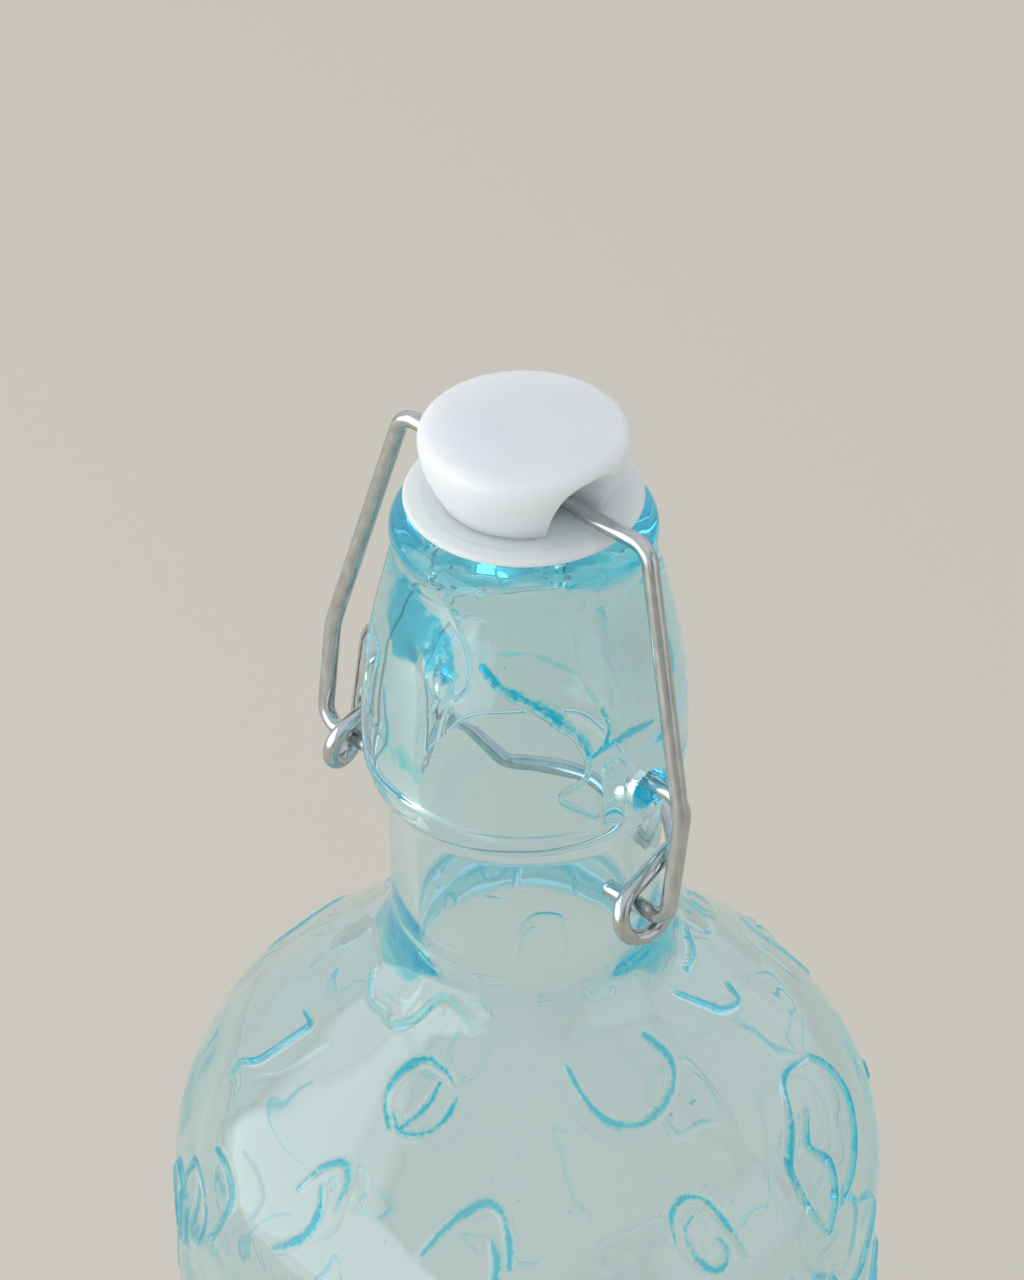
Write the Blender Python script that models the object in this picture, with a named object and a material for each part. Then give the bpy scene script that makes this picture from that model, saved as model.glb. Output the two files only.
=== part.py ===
"""Swing-top bottle of light-blue glass, closed, with its cap, gasket ring, bail wire and lever wire.

The origin is the centre of the base. +Z is up, X runs along the wires' pivots and +Y points to the
lever's handle. Lengths are in metres, and every "drop" is measured down from the top of the glass lip.
"""

import math

import bmesh
import bpy
from mathutils import Matrix, Vector

# Fits between the pieces
FIT_GAP = 0.0003
CUT_OVERRUN = 0.002

# Body of the bottle
BOTTLE_HEIGHT = 0.264
BODY_RADIUS = 0.047
BODY_WALL = 0.0036
HEEL_RADIUS = 0.009
REST_RING_WIDTH = 0.004
PUSH_UP = 0.0045
BASE_THICKNESS = 0.005
SHOULDER_ROUND_RADIUS = 0.0275
SHOULDER_SLOPE = math.radians(46)

# Neck of the bottle
NECK_RADIUS = 0.0173
NECK_WALL = 0.0044
NECK_FLARE_DROP = 0.0597
NECK_FLARE_RADIUS = 0.0145

# Lip and collar, which carry the closure
LIP_RADIUS = 0.0166
LIP_SEAT_RADIUS = 0.0136
LIP_ROUND_DROP = 0.003
LIP_HEIGHT = 0.0057
GROOVE_DEPTH = 0.0005
COLLAR_RADIUS = 0.0206
COLLAR_WIDEST_DROP = 0.0317
COLLAR_STRAIGHT = 0.0035
COLLAR_UNDER_HEIGHT = 0.006
BORE_RADIUS = 0.00925
BORE_LENGTH = 0.0075
BORE_MOUTH_ROUND = 0.0012
COLLAR_INNER_RADIUS = 0.0136
COLLAR_INNER_DROP = 0.028
NECK_INNER_DROP = 0.042

# Raised curls in rows round the shoulder and the wall, each a ridge with a sharp crest
CURL_HEIGHT = 0.0009
CURL_HALF_WIDTH = 0.0011
CURL_ROOT = 0.0006
CURL_SIZE = 0.0066
CURL_ROW_STEP = 0.019
CURL_FOOT_MARGIN = 0.015
CURLS_PER_ROW = 10
CURL_DRIFT_SHARE = 0.08

# The strokes of each curl, as shares of its size across and up the wall from its middle
CURL_STROKE_SHARES = {
    "snail": [((-0.42, -0.74), (-0.7, 0.1), (-0.12, 0.73), (0.6, 0.42), (0.56, -0.44), (0.05, -0.73))],
    "bowl": [((-0.97, 0.67), (-0.76, -0.3), (0.05, -0.76), (0.95, -0.25), (0.78, 0.76))],
    "hook": [((-0.58, 0.12), (-0.3, 0.73), (0.1, 1.03), (0.41, 0.3)), ((0.02, 0.3), (0.04, -0.4), (-0.6, -1.15))],
    "claw": [((-0.82, -0.21), (-0.1, 0.7), (0.5, 0.88), (0.88, 0.0)), ((0.56, 0.1), (0.48, -1.0))],
    "nine": [((-0.7, 0.12), (-0.5, 0.68), (-0.05, 0.86), (0.35, 0.45), (0.7, -0.73))],
    "leaf": [
        ((1.32, 1.0), (0.1, 1.36), (-1.2, 0.35), (-1.5, -0.5), (-1.32, -1.45)),
        ((1.57, 0.5), (1.1, -0.6), (-0.6, -1.2)),
    ],
    "wave": [((-0.45, 0.7), (-0.1, 0.1), (0.2, -0.37), (0.76, -0.62))],
    "comma": [((-0.18, 0.88), (0.2, 0.7), (0.1, -0.2), (-0.3, -1.05))],
    "wing": [((-0.67, 0.73), (0.2, 0.6), (0.4, -0.1), (0.08, -0.88))],
}

# The two upper rows: shape, degrees round from -Y towards +X, rows down from the neck's foot, turn in
# degrees, and share of the size
UPPER_CURL_SHARES = [
    ("snail", 14, 1.03, 0, 1.0),
    ("bowl", 72, 0.95, 0, 1.0),
    ("wave", 114, 0.84, 0, 1.0),
    ("nine", 168, 1.0, 20, 0.9),
    ("bowl", 214, 0.95, 0, 0.95),
    ("hook", 262, 1.0, -20, 0.8),
    ("comma", 325, 1.47, 0, 1.0),
    ("hook", 2, 2.0, 0, 1.0),
    ("claw", 32, 1.95, 0, 1.0),
    ("nine", 77, 2.08, 0, 1.0),
    ("leaf", 112, 2.1, 0, 1.0),
    ("claw", 166, 2.0, 10, 1.0),
    ("snail", 200, 2.05, -15, 1.15),
    ("hook", 236, 1.95, 0, 1.0),
    ("bowl", 271, 2.05, 170, 0.9),
    ("wing", 340, 2.47, 0, 1.0),
]

# The rows below: each place takes the next shape, with the share of its size
LOWER_CURL_SHARES = [
    ("nine", 1.1),
    ("snail", 1.1),
    ("wing", 1.1),
    ("bowl", 1.0),
    ("comma", 1.1),
    ("leaf", 0.75),
    ("claw", 0.95),
    ("hook", 0.9),
]
LOWER_CURLS_START = 3.05

# Flat pads on the collar, each with a dimple for the lever's tip
PAD_FACE = 0.0212
PAD_HALF_WIDTH = 0.0086
PAD_TOP_DROP = 0.0247
PAD_HEIGHT = 0.0145
PAD_DEPTH = 0.005
PAD_EDGE_ROUND = 0.0015
DIMPLE_RADIUS = 0.003
DIMPLE_DEPTH = 0.0039
DIMPLE_END_ROUND = 0.0005
TIP_END_GAP = 0.0008

# Gasket ring between the lip and the cap
GASKET_RADIUS = 0.0149
GASKET_THICKNESS = 0.0019
GASKET_RECESS = 0.0002
GASKET_RECESS_RADIUS = 0.0122
GASKET_EDGE_ROUND = 0.0008

# Stopper cap with its stem
CAP_RADIUS = 0.013
CAP_BASE_RADIUS = 0.0103
CAP_WIDEST_HEIGHT = 0.008
CAP_EDGE_ROUND = 0.0015
CAP_CROWN = 0.0007
STEM_RADIUS = 0.0046
STEM_LENGTH = 0.0058
BARB_RADIUS = 0.0062
BARB_LAND = 0.0008
BARB_CHAMFER = 0.0016
CAP_WIRE_HEIGHT = 0.00145
SLOT_DEPTH = 0.0004
RECESS_LENGTH = 0.005
RECESS_HALF_WIDTH = 0.0054
RECESS_HALF_HEIGHT = 0.0034
RECESS_CENTRE_X = 0.0132

# Wire of the bail and the lever
WIRE_RADIUS = 0.0011
WIRE_BEND = 0.0028

# Lever wire, from the pivot at the dimples
PIVOT_DROP = 0.0317
LEVER_HALF_WIDTH = 0.0272
EYE_BELOW_PIVOT = 0.0148
EYE_BEHIND_PIVOT = 0.0062
EYE_RADIUS = 0.0033
EYE_PITCH = 0.0026
KNEE_HALF_WIDTH = 0.0244
KNEE_BELOW_PIVOT = 0.0086
KNEE_BEND = 0.004
HANDLE_BELOW_PIVOT = 0.021
HANDLE_BEND = 0.005
HANDLE_LEAD = 0.002
HANDLE_STANDOFF = 0.0005
HANDLE_HALF_ANGLE = math.radians(45)

# Bail wire, from the cap down to the lever's eyes
BAIL_ELBOW_HALF_WIDTH = 0.02065
BAIL_BEND_HALF_WIDTH = 0.0301
BAIL_BEND_BELOW_CAP_WIRE = 0.035
BAIL_BEND_OFFSET = 0.0039
BAIL_BEND_ROUND = 0.012
BAIL_FOOT_HALF_WIDTH = 0.0299
BAIL_STUB_END = 0.0198

# Facets
BOTTLE_STEPS = 36
RING_STEPS = 36
CUTTER_STEPS = 24
WIRE_STEP = math.radians(18)
WIRE_BEVEL_RESOLUTION = 3
MERGE_DISTANCE = 0.00001

# Heights and places that follow from the sizes above
PIVOT_Z = BOTTLE_HEIGHT - PIVOT_DROP
GASKET_Z = BOTTLE_HEIGHT + FIT_GAP
CAP_Z = GASKET_Z + GASKET_THICKNESS - GASKET_RECESS + FIT_GAP
CAP_WIRE_Z = CAP_Z + CAP_WIRE_HEIGHT
DIMPLE_Z = PIVOT_Z - (DIMPLE_RADIUS - WIRE_RADIUS - FIT_GAP)
EYE_SLACK = EYE_RADIUS - 2 * WIRE_RADIUS - FIT_GAP

# Where the neck's flare, the straight slope and the shoulder's round meet
FLARE_Z = BOTTLE_HEIGHT - NECK_FLARE_DROP
SLOPE_START_Z = FLARE_Z - NECK_FLARE_RADIUS * math.sin(SHOULDER_SLOPE)
SLOPE_START_RADIUS = NECK_RADIUS + NECK_FLARE_RADIUS * (1 - math.cos(SHOULDER_SLOPE))
SLOPE_END_RADIUS = BODY_RADIUS - SHOULDER_ROUND_RADIUS * (1 - math.cos(SHOULDER_SLOPE))
SLOPE_END_Z = SLOPE_START_Z - (SLOPE_END_RADIUS - SLOPE_START_RADIUS) / math.tan(SHOULDER_SLOPE)
WALL_TOP_Z = SLOPE_END_Z - SHOULDER_ROUND_RADIUS * math.sin(SHOULDER_SLOPE)


def material(name, colour, roughness, metallic=0.0, transmission=0.0):
    made = bpy.data.materials.new(name)
    made.use_nodes = True
    shader = made.node_tree.nodes["Principled BSDF"]
    shader.inputs["Base Color"].default_value = (*colour, 1.0)
    shader.inputs["Roughness"].default_value = roughness
    shader.inputs["Metallic"].default_value = metallic
    shader.inputs["Transmission Weight"].default_value = transmission
    return made


def arc(centre, radii, start, end, steps):
    """Points on an arc in a (radius, height) profile, ends included, angles in degrees from +radius."""
    points = []
    for i in range(steps + 1):
        angle = math.radians(start + (end - start) * i / steps)
        points.append((centre[0] + radii[0] * math.cos(angle), centre[1] + radii[1] * math.sin(angle)))
    return points


def turned(name, profile, steps, closed, surface):
    """A turned piece. The profile of (radius, height) points runs down its outer side."""
    mesh = bpy.data.meshes.new(name)
    vertices = [(radius, 0.0, height) for radius, height in profile]
    edges = [(i, i + 1) for i in range(len(vertices) - 1)]
    if closed:
        edges.append((len(vertices) - 1, 0))
    mesh.from_pydata(vertices, edges, [])
    piece = bpy.data.objects.new(name, mesh)
    bpy.context.collection.objects.link(piece)
    mesh.materials.append(surface)
    screw = piece.modifiers.new("Turn", "SCREW")
    screw.steps = steps
    screw.render_steps = steps
    screw.use_merge_vertices = True
    screw.merge_threshold = MERGE_DISTANCE
    screw.use_smooth_shade = True
    return piece


def helper(name, build, centre):
    """A hidden closed mesh for a Boolean, filled in by build(bm)."""
    mesh = bpy.data.meshes.new(name)
    bm = bmesh.new()
    build(bm)
    bmesh.ops.recalc_face_normals(bm, faces=bm.faces)
    bm.to_mesh(mesh)
    bm.free()
    made = bpy.data.objects.new(name, mesh)
    made.location = centre
    made.hide_render = True
    made.display_type = "WIRE"
    bpy.context.collection.objects.link(made)
    return made


def combine(piece, other, operation):
    step = piece.modifiers.new(other.name, "BOOLEAN")
    step.operation = operation
    step.object = other


def rounded_block(size, radius):
    def build(bm):
        bmesh.ops.create_cube(bm, size=1.0)
        bmesh.ops.scale(bm, vec=size, verts=bm.verts)
        bmesh.ops.bevel(bm, geom=bm.edges, offset=radius, segments=3, profile=0.5, affect="EDGES")

    return build


def rod_along_x(radius, length, end_round):
    """A rod along X whose lower-X rim is rounded."""

    def build(bm):
        bmesh.ops.create_cone(
            bm, cap_ends=True, segments=CUTTER_STEPS, radius1=radius, radius2=radius, depth=length
        )
        bmesh.ops.rotate(bm, matrix=Matrix.Rotation(math.pi / 2, 3, "Y"), verts=bm.verts)
        rim = [edge for edge in bm.edges if all(vertex.co.x < 0 for vertex in edge.verts)]
        bmesh.ops.bevel(bm, geom=rim, offset=end_round, segments=2, profile=0.5, affect="EDGES")

    return build


def ellipsoid(semi_axes):
    def build(bm):
        bmesh.ops.create_uvsphere(bm, u_segments=CUTTER_STEPS, v_segments=CUTTER_STEPS // 2, radius=1.0)
        bmesh.ops.scale(bm, vec=semi_axes, verts=bm.verts)

    return build


def arched_bar(length, radius, leg):
    """A bar along X with a half-round top of this radius, and a straight leg below its centre."""

    def build(bm):
        outline = [(radius, -leg)] + arc((0, 0), (radius, radius), 0, 180, CUTTER_STEPS // 2) + [(-radius, -leg)]
        face = bm.faces.new([bm.verts.new((-length / 2, y, z)) for y, z in outline])
        grown = bmesh.ops.extrude_face_region(bm, geom=[face])["geom"]
        moved = [item for item in grown if isinstance(item, bmesh.types.BMVert)]
        bmesh.ops.translate(bm, vec=(length, 0, 0), verts=moved)

    return build


def bottle_profile():
    """From the middle of the cavity's floor, up the inside, over the lip and down to the push-up."""
    inner_radius = BODY_RADIUS - BODY_WALL
    neck_inner = NECK_RADIUS - NECK_WALL
    slope = math.degrees(SHOULDER_SLOPE)

    # Inside, from the floor up
    heel_inner = HEEL_RADIUS - BODY_WALL
    floor_z = PUSH_UP + BASE_THICKNESS
    inside = [(0.0, floor_z), ((inner_radius - heel_inner) / 2, floor_z - PUSH_UP / 4)]
    inside += arc((inner_radius - heel_inner, BASE_THICKNESS + heel_inner), (heel_inner, heel_inner), -90, 0, 3)
    inside += arc(
        (BODY_RADIUS - SHOULDER_ROUND_RADIUS, WALL_TOP_Z),
        (SHOULDER_ROUND_RADIUS - BODY_WALL, SHOULDER_ROUND_RADIUS - BODY_WALL),
        0,
        slope,
        5,
    )
    inside += arc(
        (neck_inner + NECK_FLARE_RADIUS + NECK_WALL, FLARE_Z),
        (NECK_FLARE_RADIUS + NECK_WALL, NECK_FLARE_RADIUS + NECK_WALL),
        180 + slope,
        180,
        4,
    )
    inside.append((neck_inner, BOTTLE_HEIGHT - NECK_INNER_DROP))

    # The hollow of the collar draws in to the bore under the lip
    for i in range(5):
        share = i / 4
        draw_in = (1 - math.cos(share * math.pi)) / 2
        radius = COLLAR_INNER_RADIUS + (BORE_RADIUS - COLLAR_INNER_RADIUS) * draw_in
        drop = COLLAR_INNER_DROP + (BORE_LENGTH - COLLAR_INNER_DROP) * share
        inside.append((radius, BOTTLE_HEIGHT - drop))
    inside += arc(
        (BORE_RADIUS + BORE_MOUTH_ROUND, BOTTLE_HEIGHT - BORE_MOUTH_ROUND),
        (BORE_MOUTH_ROUND, BORE_MOUTH_ROUND),
        180,
        90,
        2,
    )

    # Lip, from its flat seat over the round to the groove
    outside = arc(
        (LIP_SEAT_RADIUS, BOTTLE_HEIGHT - LIP_ROUND_DROP), (LIP_RADIUS - LIP_SEAT_RADIUS, LIP_ROUND_DROP), 90, 0, 5
    )
    groove_radius = LIP_RADIUS - GROOVE_DEPTH
    outside.append((groove_radius, BOTTLE_HEIGHT - LIP_HEIGHT))

    # Collar, a quarter wave out to its widest, a straight band, and a round turn under to the neck
    rise = COLLAR_WIDEST_DROP - LIP_HEIGHT
    for i in range(1, 8):
        share = i / 7
        bulge = (COLLAR_RADIUS - groove_radius) * math.sin(share * math.pi / 2)
        outside.append((groove_radius + bulge, BOTTLE_HEIGHT - LIP_HEIGHT - rise * share))
    under_z = BOTTLE_HEIGHT - COLLAR_WIDEST_DROP - COLLAR_STRAIGHT
    outside += arc(
        (NECK_RADIUS, under_z), (COLLAR_RADIUS - NECK_RADIUS, COLLAR_UNDER_HEIGHT), 0, -90, 5
    )

    # Neck, shoulder and wall
    outside += arc(
        (NECK_RADIUS + NECK_FLARE_RADIUS, FLARE_Z), (NECK_FLARE_RADIUS, NECK_FLARE_RADIUS), 180, 180 + slope, 5
    )
    outside += arc(
        (BODY_RADIUS - SHOULDER_ROUND_RADIUS, WALL_TOP_Z),
        (SHOULDER_ROUND_RADIUS, SHOULDER_ROUND_RADIUS),
        slope,
        0,
        6,
    )

    # Heel, flat rest ring and push-up
    outside += arc((BODY_RADIUS - HEEL_RADIUS, HEEL_RADIUS), (HEEL_RADIUS, HEEL_RADIUS), 0, -90, 5)
    ring_inner = BODY_RADIUS - HEEL_RADIUS - REST_RING_WIDTH
    for i in range(5):
        share = i / 4
        outside.append((ring_inner * math.cos(share * math.pi / 2), PUSH_UP * math.sin(share * math.pi / 2)))
    outside[-1] = (0.0, PUSH_UP)
    return inside + outside


def on_wall(along, angle):
    """Point and outward direction on the outer surface, this far down its outline from the neck's flare."""
    flare_length = NECK_FLARE_RADIUS * SHOULDER_SLOPE
    slope_length = (SLOPE_END_RADIUS - SLOPE_START_RADIUS) / math.sin(SHOULDER_SLOPE)
    round_length = SHOULDER_ROUND_RADIUS * SHOULDER_SLOPE
    if along < flare_length:
        tilt = along / NECK_FLARE_RADIUS
        radius = NECK_RADIUS + NECK_FLARE_RADIUS * (1 - math.cos(tilt))
        height = FLARE_Z - NECK_FLARE_RADIUS * math.sin(tilt)
    elif along < flare_length + slope_length:
        tilt = SHOULDER_SLOPE
        run = along - flare_length
        radius = SLOPE_START_RADIUS + run * math.sin(tilt)
        height = SLOPE_START_Z - run * math.cos(tilt)
    elif along < flare_length + slope_length + round_length:
        tilt = SHOULDER_SLOPE - (along - flare_length - slope_length) / SHOULDER_ROUND_RADIUS
        radius = BODY_RADIUS - SHOULDER_ROUND_RADIUS * (1 - math.cos(tilt))
        height = WALL_TOP_Z + SHOULDER_ROUND_RADIUS * math.sin(tilt)
    else:
        tilt = 0.0
        radius = BODY_RADIUS
        height = WALL_TOP_Z - (along - flare_length - slope_length - round_length)
    around = Vector((math.sin(angle), -math.cos(angle), 0))
    outward = around * math.cos(tilt) + Vector((0, 0, 1)) * math.sin(tilt)
    return around * radius + Vector((0, 0, height)), outward


def add_ridge(bm, points, outwards):
    """A closed ridge along points on the wall, with its root inside the glass and both ends drawn down."""
    rings = []
    root_half_width = CURL_HALF_WIDTH * (CURL_HEIGHT + CURL_ROOT) / CURL_HEIGHT
    for i, (point, outward) in enumerate(zip(points, outwards)):
        ahead = points[min(i + 1, len(points) - 1)] - points[max(i - 1, 0)]
        across = outward.cross(ahead).normalized()
        full = 1.0 if 0 < i < len(points) - 1 else 0.5
        root = point - outward * CURL_ROOT
        rings.append(
            [
                bm.verts.new(root - across * root_half_width * full),
                bm.verts.new(point + outward * CURL_HEIGHT * full),
                bm.verts.new(root + across * root_half_width * full),
            ]
        )
    for near, far in zip(rings[:-1], rings[1:]):
        for k in range(3):
            after = (k + 1) % 3
            bm.faces.new((near[k], near[after], far[after], far[k]))
    bm.faces.new(reversed(rings[0]))
    bm.faces.new(rings[-1])


def add_curl(bm, shape, middle_angle, middle_along, turn, size):
    """The ridges of one curl, laid on the wall round its middle."""
    for stroke in CURL_STROKE_SHARES[shape]:
        places = []
        for across, rise in stroke:
            right = (across * math.cos(turn) - rise * math.sin(turn)) * size
            along = middle_along - (across * math.sin(turn) + rise * math.cos(turn)) * size
            radius = on_wall(along, middle_angle)[0].xy.length
            places.append(on_wall(along, middle_angle + right / radius))
        add_ridge(bm, [point for point, _ in places], [outward for _, outward in places])


def all_curls(bm):
    """The two upper rows by their places, and the rows below by rule down to the heel."""
    for shape, degrees, row, turn, size in UPPER_CURL_SHARES:
        add_curl(bm, shape, math.radians(degrees), row * CURL_ROW_STEP, math.radians(turn), size * CURL_SIZE)
    wall_top_along = (
        NECK_FLARE_RADIUS * SHOULDER_SLOPE
        + (SLOPE_END_RADIUS - SLOPE_START_RADIUS) / math.sin(SHOULDER_SLOPE)
        + SHOULDER_ROUND_RADIUS * SHOULDER_SLOPE
    )
    foot_along = wall_top_along + WALL_TOP_Z - HEEL_RADIUS - CURL_FOOT_MARGIN
    rows = int((foot_along / CURL_ROW_STEP) - LOWER_CURLS_START) + 1
    for row in range(rows):
        for i in range(CURLS_PER_ROW):
            count = row * CURLS_PER_ROW + i
            shape, size = LOWER_CURL_SHARES[(count + row) % len(LOWER_CURL_SHARES)]
            drift = math.sin(2.4 * count)
            angle = (i + (row % 2) / 2 + CURL_DRIFT_SHARE * drift) * 2 * math.pi / CURLS_PER_ROW
            along = (LOWER_CURLS_START + row + CURL_DRIFT_SHARE * math.cos(3.7 * count)) * CURL_ROW_STEP
            add_curl(bm, shape, angle, along, drift / 2, size * CURL_SIZE)


def make_bottle(glass):
    bottle = turned("glass_bottle", bottle_profile(), BOTTLE_STEPS, False, glass)
    pad_size = (PAD_DEPTH + PAD_EDGE_ROUND, 2 * PAD_HALF_WIDTH, PAD_HEIGHT)
    pad_z = BOTTLE_HEIGHT - PAD_TOP_DROP - PAD_HEIGHT / 2
    dimple_length = DIMPLE_DEPTH + CUT_OVERRUN
    dimple_x = PAD_FACE - DIMPLE_DEPTH + dimple_length / 2
    for side, label in ((1, "right"), (-1, "left")):
        pad = helper(
            "pad_" + label,
            rounded_block(pad_size, PAD_EDGE_ROUND),
            (side * (PAD_FACE - pad_size[0] / 2), 0, pad_z),
        )
        combine(bottle, pad, "UNION")
    for side, label in ((1, "right"), (-1, "left")):
        dimple = helper(
            "dimple_" + label,
            rod_along_x(DIMPLE_RADIUS, dimple_length, DIMPLE_END_ROUND),
            (side * dimple_x, 0, DIMPLE_Z),
        )
        dimple.rotation_euler = (0, 0, 0 if side > 0 else math.pi)
        combine(bottle, dimple, "DIFFERENCE")
    combine(bottle, helper("raised_curls", all_curls, (0, 0, 0)), "UNION")
    return bottle


def make_gasket(rubber):
    """Ring with a shallow recess for the cap and a soft round edge. Its origin is on its underside."""
    hole = STEM_RADIUS + FIT_GAP
    edge = GASKET_EDGE_ROUND
    profile = [
        (hole, GASKET_THICKNESS - GASKET_RECESS),
        (GASKET_RECESS_RADIUS, GASKET_THICKNESS - GASKET_RECESS),
        (GASKET_RECESS_RADIUS + 2 * GASKET_RECESS, GASKET_THICKNESS),
    ]
    profile += arc((GASKET_RADIUS - edge, GASKET_THICKNESS - edge), (edge, edge), 90, 0, 3)
    profile += arc((GASKET_RADIUS - edge, edge), (edge, edge), 0, -90, 3)
    profile.append((hole, 0.0))
    return turned("stopper_gasket", profile, RING_STEPS, True, rubber)


def make_cap(plastic):
    """Bowl-shaped head with a crowned top, and a barbed stem. Its origin is on the bail wire's axis."""
    base = -CAP_WIRE_HEIGHT
    edge_z = base + CAP_WIDEST_HEIGHT
    top_z = edge_z + CAP_EDGE_ROUND
    flat_radius = CAP_RADIUS - CAP_EDGE_ROUND
    profile = [(0.0, top_z + CAP_CROWN), (flat_radius / 2, top_z + CAP_CROWN * 3 / 4)]
    profile += arc((flat_radius, edge_z), (CAP_EDGE_ROUND, CAP_EDGE_ROUND), 80, 0, 4)
    for i in range(1, 6):
        share = 1 - i / 5
        side = CAP_BASE_RADIUS + (CAP_RADIUS - CAP_BASE_RADIUS) * math.sin(share * math.pi / 2)
        profile.append((side, base + CAP_WIDEST_HEIGHT * share))
    gasket_under = GASKET_THICKNESS - GASKET_RECESS + 2 * FIT_GAP
    barb_top = base - gasket_under
    barb_full = barb_top - (BARB_RADIUS - STEM_RADIUS) / 2
    stem_end = base - STEM_LENGTH
    profile += [
        (STEM_RADIUS, base),
        (STEM_RADIUS, barb_top),
        (BARB_RADIUS, barb_full),
        (BARB_RADIUS, barb_full - BARB_LAND),
        (BARB_RADIUS - BARB_CHAMFER, stem_end),
        (0.0, stem_end),
    ]
    cap = turned("stopper_cap", profile, RING_STEPS, False, plastic)
    slot_radius = WIRE_RADIUS + FIT_GAP
    slot = helper(
        "wire_slot",
        arched_bar(2 * (CAP_RADIUS + CUT_OVERRUN), slot_radius, CAP_WIRE_HEIGHT + SLOT_DEPTH),
        (0, 0, 0),
    )
    recesses = []
    for side, label in ((1, "right"), (-1, "left")):
        shape = ellipsoid((RECESS_LENGTH, RECESS_HALF_WIDTH, RECESS_HALF_HEIGHT))
        recesses.append(helper("wire_recess_" + label, shape, (side * RECESS_CENTRE_X, 0, 0)))
    for cutter in [slot] + recesses:
        cutter.parent = cap
        combine(cap, cutter, "DIFFERENCE")
    return cap


def rounded_corner(before, corner, after, radius):
    """Points of the arc that rounds one corner of a wire."""
    back = (before - corner).normalized()
    ahead = (after - corner).normalized()
    half = back.angle(ahead) / 2
    centre = corner + (back + ahead).normalized() * (radius / math.sin(half))
    reach = radius / math.tan(half)
    start = (corner + back * reach - centre).normalized()
    end = (corner + ahead * reach - centre).normalized()
    steps = max(2, math.ceil((math.pi - 2 * half) / WIRE_STEP))
    return [centre + start.slerp(end, i / steps) * radius for i in range(steps + 1)]


def wire(name, half, steel):
    """A bent wire from its half on the +X side, which ends short of X = 0 and is mirrored."""
    points = half + [Vector((-point.x, point.y, point.z)) for point in reversed(half)]
    curve = bpy.data.curves.new(name, "CURVE")
    curve.dimensions = "3D"
    curve.bevel_depth = WIRE_RADIUS
    curve.bevel_resolution = WIRE_BEVEL_RESOLUTION
    curve.use_fill_caps = True
    spline = curve.splines.new("POLY")
    spline.points.add(len(points) - 1)
    for place, point in zip(spline.points, points):
        place.co = (*point, 1.0)
    curve.materials.append(steel)
    piece = bpy.data.objects.new(name, curve)
    bpy.context.collection.objects.link(piece)
    return piece


def on_eye(angle, x):
    """A point on the eye's centre line, with the angle from +Y towards +Z."""
    return Vector(
        (
            x,
            -EYE_BEHIND_PIVOT + EYE_RADIUS * math.cos(angle),
            -EYE_BELOW_PIVOT + EYE_RADIUS * math.sin(angle),
        )
    )


def make_lever(steel):
    """Tip in the dimple, arm, one full eye for the bail, knee and a bow behind the neck."""
    tip = Vector((PAD_FACE - DIMPLE_DEPTH + TIP_END_GAP, 0, 0))
    corner = Vector((LEVER_HALF_WIDTH, 0, 0))

    # The bow hugs the neck, leads on along its tangent, and climbs from there to the knee
    bow_radius = NECK_RADIUS + WIRE_RADIUS + HANDLE_STANDOFF
    bow_end = Vector(
        (bow_radius * math.sin(HANDLE_HALF_ANGLE), bow_radius * math.cos(HANDLE_HALF_ANGLE), -HANDLE_BELOW_PIVOT)
    )
    outward = Vector((math.cos(HANDLE_HALF_ANGLE), -math.sin(HANDLE_HALF_ANGLE), 0))
    bow_corner = bow_end + outward * HANDLE_LEAD
    along = (KNEE_HALF_WIDTH - bow_corner.x) / outward.x
    knee = bow_corner + outward * along
    knee.z = -KNEE_BELOW_PIVOT

    # The eye turns once, down the handle's side and back over the top, and each end leaves it on a tangent
    to_corner = Vector((EYE_BEHIND_PIVOT, EYE_BELOW_PIVOT))
    to_knee = Vector((knee.y + EYE_BEHIND_PIVOT, knee.z + EYE_BELOW_PIVOT))
    enter = math.atan2(to_corner.y, to_corner.x) - math.acos(EYE_RADIUS / to_corner.length)
    leave = math.atan2(to_knee.y, to_knee.x) + math.acos(EYE_RADIUS / to_knee.length) - 2 * math.pi
    steps = math.ceil((enter - leave) / WIRE_STEP)
    eye = []
    for i in range(steps + 1):
        share = i / steps
        eye.append(on_eye(enter + (leave - enter) * share, LEVER_HALF_WIDTH - EYE_PITCH * share))

    half = [tip]
    half += rounded_corner(tip, corner, eye[0], WIRE_BEND)
    half += eye
    half += rounded_corner(eye[-1], knee, bow_corner, KNEE_BEND)
    half += rounded_corner(knee, bow_corner, bow_end, HANDLE_BEND)
    bow_steps = 5
    for i in range(bow_steps):
        angle = HANDLE_HALF_ANGLE * (1 - i / (bow_steps - 0.5))
        half.append(Vector((bow_radius * math.sin(angle), bow_radius * math.cos(angle), -HANDLE_BELOW_PIVOT)))
    return wire("lever_wire", half, steel)


def stub_centre():
    """Where the bail's stub hangs in the eye, pulled towards the cap: (Y, Z) in world coordinates."""
    eye = Vector((-EYE_BEHIND_PIVOT, PIVOT_Z - EYE_BELOW_PIVOT))
    pull = Vector((0.0, CAP_WIRE_Z)) - eye
    return eye + pull.normalized() * EYE_SLACK


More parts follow.
